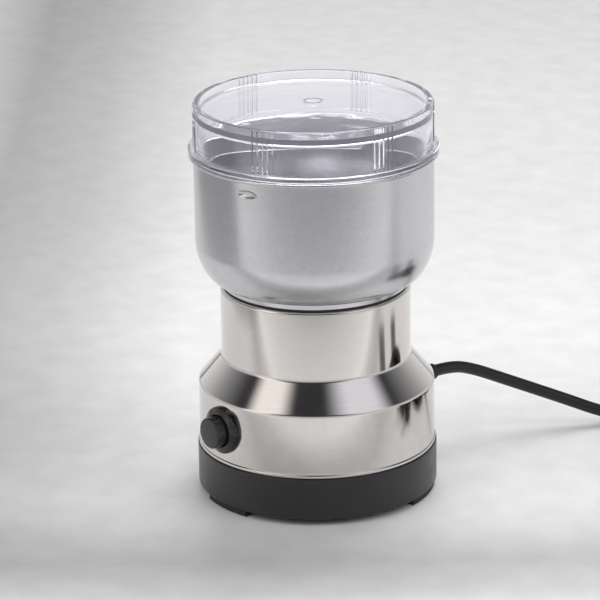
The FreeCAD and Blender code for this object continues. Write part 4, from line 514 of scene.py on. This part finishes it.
def bowl():
    """The sheet turned from its profile, with extra columns at the dimples, which are then pressed."""
    bm = bmesh.new()
    bead = [(BEAD_R, BOWL_TOP_Z, BEAD_ROUND), (BEAD_R, BEAD_LOW_Z, BEAD_ROUND), (BAND_R, BEAD_LOW_Z, 0.35)]
    foot = [(FOOT_R, FOOT_TOP_Z, 0.12), (FOOT_R, FOOT_LOW_Z, 0.3), (SHAFT_HOLE_R, FOOT_LOW_Z),
            (SHAFT_HOLE_R, FOOT_LOW_Z + SHEET), (FOOT_R - SHEET, FOOT_LOW_Z + SHEET, 0.3),
            (FOOT_R - SHEET, 93.287, 0.3)]
    inside = list(reversed(bowl_side(SHEET))) + [(BAND_R - SHEET, BOWL_TOP_Z, 0.4)]
    trace(bm, bead + bowl_side(0.0) + foot + inside, segments=8)
    near = [DIMPLE_AZIMUTH + 0.4 * i for i in range(-16, 17)]
    turn(bm, column_stops(near, 1.5, 180.0), 2)
    press_dimples(bm)
    spun = put("bowl_spun", bm, ON_AXIS, 40.0)
    stand_for(spun, BOWL_STEEL, "satin_steel", "housing", "bowl")


# Lid: one clear moulding with a recessed domed plate, grouped ribs, flange and bayonet skirt

LID_WALL_R, LID_TOP_Z, PLATE_R = 49.3, 168.5, 47.0
FLANGE_R, FLANGE_TOP_Z, FLANGE_LOW_Z = 52.0, 150.0, 148.2
SKIRT_R, SKIRT_IN_R, SKIRT_TOP_Z, SKIRT_LOW_Z = 48.55, 46.65, 147.6, 137.0
RIB_MARKS = [27.0 + 60 * group + 2.55 * (i - 2) for group in range(6) for i in range(5)]
RIB_LOW_Z, RIB_HIGH_Z, RIB_PROUD = 150.15, 167.8, 0.6
RIB_FOOT, RIB_CREST = math.degrees(0.65 / LID_WALL_R), math.degrees(0.3 / LID_WALL_R)
BAYONET_WAY = [(-5.9, 136.0), (5.9, 136.0), (5.9, 138.6), (16.9, 138.6), (16.9, 143.6), (-5.9, 143.6)]
BAYONET_FRONT, BAYONET_DEEP = -50.6, 6.0
DOME_CENTRE_Z, DOME_R, PLATE_THICK = -178.556, 346.756, 2.5


def dome_z(radius, below=0.0):
    """The plate's height at a radius, for its upper face or one that lies below it."""
    return DOME_CENTRE_Z - below + math.sqrt(DOME_R ** 2 - radius ** 2)


def dome(radii, below=0.0):
    """Corners along the plate's dome at these radii."""
    return [(r, dome_z(r, below)) for r in radii]


def raise_ribs(bm):
    """Pushes the wall out at each rib's two crest columns, between its ends."""
    for vert in bm.verts:
        radius = math.hypot(vert.co.x, vert.co.y)
        if abs(radius - LID_WALL_R) > 0.02 or not RIB_LOW_Z - 0.01 < vert.co.z < RIB_HIGH_Z + 0.01:
            continue
        azimuth = math.degrees(math.atan2(vert.co.x, -vert.co.y)) % 360
        if any(abs(azimuth - mark) < RIB_CREST + 0.02 for mark in RIB_MARKS):
            vert.co.xy *= (radius + RIB_PROUD) / radius


def lid():
    """The moulding turned from its profile, its ribs pushed out and its two bayonet ways cut."""
    bm = bmesh.new()
    rings = [PLATE_R - PLATE_R * i / 20 for i in range(20)]
    groove_z = dome_z(0) - 0.35
    middle = [(0, dome_z(0)), (3.4, dome_z(3.4)), (3.55, groove_z), (3.95, groove_z), (4.1, dome_z(4.1))]
    plate = dome([6.0, 9.0] + list(reversed(rings[:17])))
    wall = [(PLATE_R, LID_TOP_Z, 0.6), (LID_WALL_R, LID_TOP_Z, 0.5), (LID_WALL_R, RIB_HIGH_Z + 0.1)]
    wall += [(LID_WALL_R, height) for height in (RIB_HIGH_Z, 159.0, RIB_LOW_Z, FLANGE_TOP_Z)]
    flange = [(FLANGE_R, FLANGE_TOP_Z, 0.6), (FLANGE_R, FLANGE_LOW_Z, 0.3), (51.6, FLANGE_LOW_Z),
              (51.0, SKIRT_TOP_Z)]
    skirt = [(SKIRT_R, SKIRT_TOP_Z), (SKIRT_R, SKIRT_LOW_Z, 0.5), (SKIRT_IN_R, SKIRT_LOW_Z, 0.3),
             (SKIRT_IN_R, SKIRT_TOP_Z), (PLATE_R, 149.6), (PLATE_R, dome_z(PLATE_R, PLATE_THICK), 1.0)]
    under = dome(rings[1:] + [0], PLATE_THICK)
    trace(bm, middle + plate + wall + flange + skirt + under, closed=False, segments=6)
    edges = (-RIB_FOOT, -RIB_CREST, RIB_CREST, RIB_FOOT)
    marks = [mark + edge for mark in RIB_MARKS[:5] for edge in edges]
    turn(bm, column_stops(marks, 1.3, 60.0), 6)
    raise_ribs(bm)
    moulded = put("lid_moulded", bm, ON_AXIS, 35.0)
    slots = bmesh.new()
    for azimuth in (DIMPLE_AZIMUTH, DIMPLE_AZIMUTH + 180):
        face = slots.faces.new([slots.verts.new((x, BAYONET_FRONT, z)) for x, z in BAYONET_WAY])
        deeper = bmesh.ops.extrude_face_region(slots, geom=[face])["geom"]
        moved = [item for item in deeper if isinstance(item, bmesh.types.BMVert)]
        bmesh.ops.translate(slots, verts=moved, vec=(0, BAYONET_DEEP, 0))
        bmesh.ops.rotate(slots, verts=list(face.verts) + moved, cent=(0, 0, 0),
                         matrix=Matrix.Rotation(math.radians(azimuth), 3, "Z"))
    slots.transform(ON_AXIS)
    cut(moulded, slots, 35.0)
    stand_for(moulded, LID_PLASTIC, "clear_plastic", "lid", "lid")


# Push button and its bezel

BEZEL_R, BEZEL_FRONT, BEZEL_BACK, GUIDE_R = 10.1, -52.4, -50.0, 6.9
BARREL_R, CATCH_BORE_R, CATCH_FRONT, STEM_BORE_R = 8.5, 7.65, -48.6, 3.7
BARREL_FLOOR_FRONT, BARREL_FLOOR_BACK = -38.0, -36.8
BEZEL_SEAT_R = 49.85
CAP_R, CAP_FRONT, CAP_EDGE = 6.6, -57.3, -56.2
CAP_COLLAR_R, CAP_COLLAR_FRONT, CAP_COLLAR_BACK = 7.4, -48.4, -46.9
STEM_R, STEM_END = 3.0, -36.4
SPRING_R, SPRING_WIRE_R, SPRING_START, SPRING_LONG, SPRING_TURNS = 5.2, 0.35, -46.45, 8.0, 4


def bezel():
    """Round flange that follows the band behind, its front bevelled, and the barrel through the sheet."""
    bm = bmesh.new()
    flange = [(GUIDE_R, BEZEL_FRONT, 0.3), (7.9, BEZEL_FRONT, 0.35), (9.9, -51.45, 0.5), (BEZEL_R, -50.4),
              (BEZEL_R, BEZEL_BACK), (8.55, BEZEL_BACK)]
    # the outline crosses itself at the barrel's floor, out of sight inside the shell
    barrel = [(BARREL_R, -47.5), (BARREL_R, BARREL_FLOOR_FRONT), (STEM_BORE_R, BARREL_FLOOR_FRONT),
              (STEM_BORE_R, BARREL_FLOOR_BACK), (CATCH_BORE_R, BARREL_FLOOR_BACK),
              (CATCH_BORE_R, CATCH_FRONT), (GUIDE_R, CATCH_FRONT)]
    trace(bm, flange + barrel, segments=6)
    turn_evenly(bm, 160)
    for vert in bm.verts:
        if math.hypot(vert.co.x, vert.co.y) > BARREL_R + 0.02 and vert.co.z > BEZEL_BACK - 0.1:
            vert.co.z = -math.sqrt(BEZEL_SEAT_R ** 2 - vert.co.x ** 2)
    ring = put("switch_bezel_moulded", bm, AT_BUTTON)
    stand_for(ring, BEZEL_ABS, "black_plastic", "housing", "switch_bezel")


def button_cap():
    """Crowned cap with a soft edge, its collar and stem behind."""
    bm = bmesh.new()
    crown = [(r, CAP_FRONT + 0.009 * r ** 2) for r in (0.0, 1.2, 2.4, 3.6, 4.8)]
    side = [(6.45, -56.92, 0.6), (CAP_R, CAP_EDGE, 0.3), (CAP_R, CAP_COLLAR_FRONT)]
    collar = [(CAP_COLLAR_R, CAP_COLLAR_FRONT), (CAP_COLLAR_R, CAP_COLLAR_BACK), (STEM_R, CAP_COLLAR_BACK)]
    trace(bm, crown + side + collar + [(STEM_R, STEM_END), (0.0, STEM_END)], closed=False, segments=8)
    turn_evenly(bm, 128)
    cap = put("button_cap_moulded", bm, AT_BUTTON)
    stand_for(cap, BUTTON_ABS, "black_plastic", "button", "button_cap")


def button_spring():
    """Return spring round the stem, 4 turns."""
    data = bpy.data.curves.new("spring_wire", "CURVE")
    data.dimensions = "3D"
    data.bevel_depth, data.bevel_resolution, data.use_fill_caps = SPRING_WIRE_R, 3, True
    wire = data.splines.new("POLY")
    steps = SPRING_TURNS * 32
    wire.points.add(steps)
    for i, point in enumerate(wire.points):
        angle = FULL_TURN * SPRING_TURNS * i / steps
        point.co = (SPRING_R * math.cos(angle), SPRING_R * math.sin(angle),
                    SPRING_START + SPRING_LONG * i / steps, 1.0)
    line = bpy.data.objects.new("spring_wire", data)
    scene.collection.objects.link(line)
    bm = bmesh.new()
    bm.from_mesh(bpy.data.meshes.new_from_object(line.evaluated_get(bpy.context.evaluated_depsgraph_get())))
    bpy.data.objects.remove(line)
    wound = put("button_spring_wound", bm, AT_BUTTON, 50.0)
    stand_for(wound, SPRING_STEEL, "spring_steel", "housing", "button_spring")
    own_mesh(wound)


# Strain relief: a tapered rubber sleeve whose rounded grooves let it bend with the cord

RELIEF_INSIDE, RELIEF_TIP = 43.5, 64.8
RELIEF_HEAD_R, RELIEF_NECK_R, RELIEF_HEAD_END = 6.6, 4.3, 51.5
SLEEVE_R, SLEEVE_NARROWS = 4.9, 1.5
GROOVES, GROOVE_FIRST, GROOVE_STEP, GROOVE_WIDE, GROOVE_R = 4, 53.5, 2.475, 0.866, 3.35


def sleeve_r(y):
    """The tapered sleeve's radius at y."""
    return SLEEVE_R - SLEEVE_NARROWS * (y - RELIEF_HEAD_END) / (RELIEF_TIP - RELIEF_HEAD_END)


def strain_relief():
    """The plug in the shell's hole, its two heads, and the grooved sleeve outside."""
    bm = bmesh.new()
    head = [(0, RELIEF_INSIDE), (3.7, RELIEF_INSIDE), (3.7, 45.5), (RELIEF_HEAD_R, 45.9),
            (RELIEF_HEAD_R, 48.4), (RELIEF_NECK_R, 48.4), (RELIEF_NECK_R, BAND_R), (RELIEF_HEAD_R, BAND_R),
            (RELIEF_HEAD_R, RELIEF_HEAD_END, 0.7), (SLEEVE_R, RELIEF_HEAD_END, 0.3)]
    sleeve = []
    for i in range(GROOVES):
        near = GROOVE_FIRST + GROOVE_STEP * i
        far = near + GROOVE_WIDE
        sleeve += [(sleeve_r(near), near, 0.25), (GROOVE_R, near, 0.2), (GROOVE_R, far, 0.2),
                   (sleeve_r(far), far, 0.25)]
    trace(bm, head + sleeve + [(3.39, RELIEF_TIP, 0.45), (0, RELIEF_TIP)], closed=False, segments=4)
    turn_evenly(bm, 96)
    moulded = put("strain_relief_moulded", bm, AT_RELIEF)
    stand_for(moulded, RUBBER, "black_rubber", "housing", "strain_relief")


# Cord: one line from the strain relief down to the table and into its put-away coil

CORD_D = 5.2
CORD_ROUTE = [
    (0.0, 64.8, 34.4), (0.0, 75.5, 34.4), (1.8, 86.5, 30.8), (6.0, 98.5, 25.0), (12.5, 112.0, 18.6),
    (20.5, 125.5, 12.2), (28.5, 138.0, 6.0), (36.5, 149.5, 2.9), (45.5, 160.0, 2.7), (54.6, 169.2, 2.7),
]
COIL_REACH = (27.0, 24.1, 21.2, 18.3, 14.3, 14.3, 18.3, 21.2, 24.1, 27.0, 29.9)
COIL_LEVELS = (2.7,) * 5 + (8.7,) * 6
COIL_END_R, COIL_END_OFF, COIL_END_DROP, COIL_END_TURN = 31.35, 1.45, 1.05, math.radians(135)
COIL_END_POINTS = 6
POINTS_PER_HALF_TURN = 7
CONTROL_OUT = 1.0256   # a control point stands this much further out than the line it draws


def coil_route():
    """The coil's points: 4 half turns in, a climb of half a turn, 5 out, and 135 degrees to the plug."""
    last, before = Vector(CORD_ROUTE[-1]), Vector(CORD_ROUTE[-2])
    heading = last - before
    heading.z = 0
    heading.normalize()
    side = heading.cross(Z_AXIS)
    centre = last + heading * CORD_D + side * COIL_REACH[0]
    points = [last + heading * CORD_D / 2]

    def add_point(across, along, z):
        spot = centre - side * across + heading * along
        points.append(Vector((spot.x, spot.y, z)))

    for i in range(len(COIL_REACH) - 1):
        for k in range(POINTS_PER_HALF_TURN):
            share = k / POINTS_PER_HALF_TURN
            angle = math.pi * (i + share)
            reach = COIL_REACH[i] + (COIL_REACH[i + 1] - COIL_REACH[i]) * share
            z = COIL_LEVELS[i] + (COIL_LEVELS[i + 1] - COIL_LEVELS[i]) * share
            add_point(reach * CONTROL_OUT * math.cos(angle), reach * CONTROL_OUT * math.sin(angle), z)
    step = math.pi / POINTS_PER_HALF_TURN
    for k in range(COIL_END_POINTS):
        angle = k * step
        drop = COIL_END_DROP * (1 - math.cos(angle)) / (1 - math.cos(COIL_END_TURN))
        add_point(COIL_END_R * CONTROL_OUT * math.cos(angle) - COIL_END_OFF,
                  COIL_END_R * CONTROL_OUT * math.sin(angle), COIL_LEVELS[-1] - drop)
    across, along = math.cos(COIL_END_TURN), math.sin(COIL_END_TURN)
    end_z = COIL_LEVELS[-1] - COIL_END_DROP
    add_point(COIL_END_R * across - COIL_END_OFF, COIL_END_R * along, end_z)
    add_point(COIL_END_R * across - COIL_END_OFF - CORD_D * along, COIL_END_R * along + CORD_D * across,
              end_z - 0.065)
    return points


def lay_cord():
    """The whole lead as one round line, hung on the housing, with the plug on its end."""
    route = [Vector(point) for point in CORD_ROUTE] + coil_route()
    data = bpy.data.curves.new("power_cord_line", "CURVE")
    data.dimensions = "3D"
    data.bevel_depth = CORD_D / 2 * MM
    data.bevel_resolution = 6
    data.use_fill_caps = True
    line = data.splines.new("NURBS")
    line.points.add(len(route) - 1)
    for point, spot in zip(line.points, route):
        point.co = (spot.x * MM, (spot.y + AXIS_Y) * MM, spot.z * MM, 1.0)
    line.order_u = 3
    line.use_endpoint_u = True
    line.resolution_u = 8
    cord = bpy.data.objects.new("power_cord_line", data)
    scene.collection.objects.link(cord)
    data.materials.append(CORD_PVC)
    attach(cord, "housing")
    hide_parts("power_cord", "cord_coil")


# Floor, backdrop and light

# the floor's grey levels at places in millimetres, away from the camera and to its right, are painted light
# and shade: darker towards the front, a painted shadow just in front of the grinder, and a painted pool of
# light behind it
PAINTED_LIGHT_AND_SHADE_BEHIND = ((-700, 0.42), (-470, 0.42), (-400, 0.52), (-330, 0.64), (-250, 0.71), (-190, 0.78),
                 (-150, 0.86), (-115, 0.56), (-85, 0.46), (-46, 0.64), (-20, 0.70), (35, 0.69),
                 (140, 0.71), (200, 0.71), (400, 0.63), (800, 0.58))
# painted shade to the left, as the camera sees the floor
PAINTED_SHADE_ACROSS = ((-450, 0.60), (-360, 0.60), (-290, 0.86), (-220, 0.90), (-170, 0.56), (-125, 0.68),
                 (-60, 1.0), (60, 1.0))
# painted reflection: the floor as the steel mirrors it, darker only far to the left
PAINTED_REFLECTION_ACROSS = ((-450, 0.50), (-350, 0.55), (-285, 1.0), (60, 1.0))
BEHIND, ACROSS = (-0.788, 0.616, 0), (0.616, 0.788, 0)
# azimuths of two dark strips painted on the floor out of sight, a painted reflection in the steel neck
PAINTED_REFLECTION_AZIMUTHS = (132.0, 151.3)
FLOOR_HALF = 3.0       # metres


def grey_steps(tree, value, steps):
    """A grey that passes through each step, a place in millimetres with its level there."""
    low, high = steps[0][0], steps[-1][0]
    share = add(tree, "MapRange", {"Value": value, "From Min": low, "From Max": high}).outputs[0]
    ramp = add(tree, "ValToRGB", {0: share})
    for i, (at, level) in enumerate(steps):
        place = (at - low) / (high - low)
        stop = ramp.color_ramp.elements[i] if i < 2 else ramp.color_ramp.elements.new(place)
        stop.position, stop.color = place, (level, level, level, 1)
    return ramp.outputs[0]


def painted_reflection_strips(tree, mm, azimuths):
    """A mask over two dark strips painted on the floor as a painted reflection that only the steel mirrors,
    one at each azimuth.
    """
    centred = add(tree, "VectorMath", {0: mm, 1: (0, AXIS_Y, 0)}, operation="SUBTRACT").outputs[0]
    parts = add(tree, "SeparateXYZ", {0: centred})
    front = add(tree, "Math", {0: parts.outputs[1], 1: -1.0}, operation="MULTIPLY").outputs[0]
    angle = add(tree, "Math", {0: parts.outputs[0], 1: front}, operation="ARCTAN2").outputs[0]
    radius = add(tree, "VectorMath", {0: centred}, operation="LENGTH").outputs["Value"]
    mask = None
    for azimuth in azimuths:
        turned = add(tree, "Math", {0: angle, 1: math.radians(azimuth)}, operation="SUBTRACT").outputs[0]
        away = add(tree, "Math", {0: turned}, operation="ABSOLUTE").outputs[0]
        flag = add(tree, "MapRange", {"Value": away, "From Min": 0.045, "From Max": 0.10, "To Min": 1.0,
                                      "To Max": 0.0}, interpolation_type="SMOOTHSTEP").outputs[0]
        mask = add(tree, "Math", {0: mask, 1: flag}, operation="MAXIMUM").outputs[0] if mask else flag
    for near, far in ((140.0, 170.0), (330.0, 290.0)):
        reach = add(tree, "MapRange", {"Value": radius, "From Min": near, "From Max": far}).outputs[0]
        mask = add(tree, "Math", {0: mask, 1: reach}, operation="MULTIPLY").outputs[0]
    return mask


def floor():
    """A pale stone floor whose colour holds painted light and shade in soft bands, and a painted reflection,
    lighter and with two dark strips, where the steel mirrors it.
    """
    bm = bmesh.new()
    bmesh.ops.create_grid(bm, x_segments=1, y_segments=1, size=FLOOR_HALF)
    mesh = bpy.data.meshes.new("floor")
    bm.to_mesh(mesh)
    bm.free()
    ground = bpy.data.objects.new("floor", mesh)
    scene.collection.objects.link(ground)
    material, tree, output, mm = new_material("floor_pale_stone_painted_light_and_shade")
    mottle = speckle(tree, mm, 16.0, detail=8.0, spread=(0.3, 0.7))
    behind = add(tree, "VectorMath", {0: mm, 1: BEHIND}, operation="DOT_PRODUCT").outputs["Value"]
    across = add(tree, "VectorMath", {0: mm, 1: ACROSS}, operation="DOT_PRODUCT").outputs["Value"]
    # painted light and shade in the floor's colour: along the view and, where the grinder stands, across it
    tone = grey_steps(tree, behind, PAINTED_LIGHT_AND_SHADE_BEHIND)
    seen = grey_steps(tree, across, PAINTED_SHADE_ACROSS)
    mirrored = grey_steps(tree, across, PAINTED_REFLECTION_ACROSS)
    # painted reflection: only rays other than the camera's see the mirrored levels and the two dark strips
    flags = painted_reflection_strips(tree, mm, PAINTED_REFLECTION_AZIMUTHS)
    painted_reflection_tone = add(tree, "Mix", {0: flags, 6: mirrored, 7: colour("#6a6a6c")}, data_type="RGBA").outputs[2]
    camera = add(tree, "LightPath").outputs["Is Camera Ray"]
    side = add(tree, "Mix", {0: camera, 6: painted_reflection_tone, 7: seen}, data_type="RGBA").outputs[2]
    past = add(tree, "MapRange", {"Value": behind, "From Min": -130.0, "From Max": -60.0}).outputs[0]
    shaded = add(tree, "Mix", {0: past, 6: colour("#ffffff"), 7: side}, data_type="RGBA").outputs[2]
    patches = add(tree, "MapRange", {"Value": mottle, "To Min": 0.945, "To Max": 1.045}).outputs[0]
    mottled_painted_shade = add(tree, "Math", {0: shaded, 1: patches}, operation="MULTIPLY").outputs[0]
    # the stone's colour times the painted light and shade and the mottle
    stone = add(tree, "VectorMath", {0: tone, "Scale": mottled_painted_shade}, operation="SCALE").outputs[0]
    shader = add(tree, "BsdfPrincipled", {"Base Color": stone, "Roughness": 0.5, "Specular IOR Level": 0.25})
    tree.links.new(shader.outputs[0], output.inputs["Surface"])
    mesh.materials.append(material)


def soft_panel(tree, towards, azimuth, elevation, half_wide, half_tall, blur):
    """A mask over directions, 1 inside a soft-edged panel as metal sees it."""
    a, e = math.radians(azimuth), math.radians(elevation)
    facing = Vector((math.sin(a) * math.cos(e), -math.cos(a) * math.cos(e), math.sin(e)))
    wide = Z_AXIS.cross(facing).normalized()
    tall = facing.cross(wide)
    depth = add(tree, "VectorMath", {0: towards, 1: facing}, operation="DOT_PRODUCT").outputs["Value"]
    mask = add(tree, "Math", {0: depth, 1: 0.05}, operation="GREATER_THAN").outputs[0]
    for axis, half in ((wide, half_wide), (tall, half_tall)):
        reach = add(tree, "VectorMath", {0: towards, 1: axis}, operation="DOT_PRODUCT").outputs["Value"]
        ratio = add(tree, "Math", {0: reach, 1: depth}, operation="DIVIDE").outputs[0]
        away = add(tree, "Math", {0: ratio}, operation="ABSOLUTE").outputs[0]
        edge = add(tree, "MapRange", {"Value": away, "From Min": half - blur, "From Max": half + blur,
                                      "To Min": 1.0, "To Max": 0.0}, interpolation_type="SMOOTHSTEP")
        mask = add(tree, "Math", {0: mask, 1: edge.outputs[0]}, operation="MULTIPLY").outputs[0]
    return mask


def studio_world():
    """A plain studio: pale near the table, dark overhead, with two pale panels for the metal to mirror."""
    world = bpy.data.worlds.new("studio")
    world.use_nodes = True
    tree = world.node_tree
    tree.nodes.clear()
    output = add(tree, "OutputWorld")
    towards = add(tree, "TexCoord").outputs["Generated"]
    height = add(tree, "SeparateXYZ", {0: towards}).outputs[2]
    ramp = add(tree, "ValToRGB", {0: height})
    stops = ((0.0, "#f6f6f6"), (0.21, "#d8d8da"), (0.42, "#9a9a9d"), (0.6, "#434346"), (1.0, "#363639"))
    for i, (at, code) in enumerate(stops):
        stop = ramp.color_ramp.elements[i] if i < 2 else ramp.color_ramp.elements.new(at)
        stop.position, stop.color = at, colour(code)
    left = soft_panel(tree, towards, CAMERA_AZIMUTH - 63, 42, 0.23, 0.75, 0.12)
    right = soft_panel(tree, towards, CAMERA_AZIMUTH + 60, 50, 0.32, 0.50, 0.18)
    mirrored = add(tree, "Mix", {0: left, 6: ramp.outputs[0], 7: (1.25, 1.20, 1.17, 1)}, data_type="RGBA")
    mirrored = add(tree, "Mix", {0: right, 6: mirrored.outputs[2], 7: (0.98, 0.99, 1.08, 1)},
                   data_type="RGBA").outputs[2]
    path = add(tree, "LightPath").outputs
    lit = add(tree, "Mix", {0: path["Is Glossy Ray"], 6: colour("#bdbdbf"), 7: mirrored},
              data_type="RGBA").outputs[2]
    plain = add(tree, "Math", {0: path["Is Camera Ray"], 1: path["Is Transmission Ray"]},
                operation="MAXIMUM").outputs[0]
    seen = add(tree, "Mix", {0: plain, 6: lit, 7: colour("#e9e9ea")}, data_type="RGBA").outputs[2]
    background = add(tree, "Background", {"Color": seen, "Strength": 1.0})
    tree.links.new(background.outputs[0], output.inputs["Surface"])
    scene.world = world


def lamp(name, azimuth, elevation, away, wide, tall, power):
    """A soft box that faces the grinder; metal mirrors the world's panel in its place."""
    data = bpy.data.lights.new(name, "AREA")
    data.shape = "RECTANGLE"
    data.size, data.size_y, data.energy = wide, tall, power
    lit = bpy.data.objects.new(name, data)
    a, e = math.radians(azimuth), math.radians(elevation)
    spot = Vector((math.sin(a) * math.cos(e), -math.cos(a) * math.cos(e), math.sin(e))) * away
    aim = spot.to_track_quat("Z", "Y").to_matrix().to_4x4()
    lit.matrix_world = Matrix.Translation(spot + Vector((0, 0, 0.08))) @ aim
    lit.visible_glossy = False
    scene.collection.objects.link(lit)


body_shell()
bowl()
lid()
bezel()
button_cap()
button_spring()
strain_relief()
lay_cord()
floor()
studio_world()
lamp("soft_box_behind", CAMERA_AZIMUTH + 160, 58, 1.3, 1.0, 1.0, 13.0)
lamp("soft_box_left", CAMERA_AZIMUTH - 62, 38, 1.3, 0.7, 1.1, 4.5)
lamp("soft_box_right", CAMERA_AZIMUTH + 58, 40, 1.3, 0.7, 1.1, 5.0)
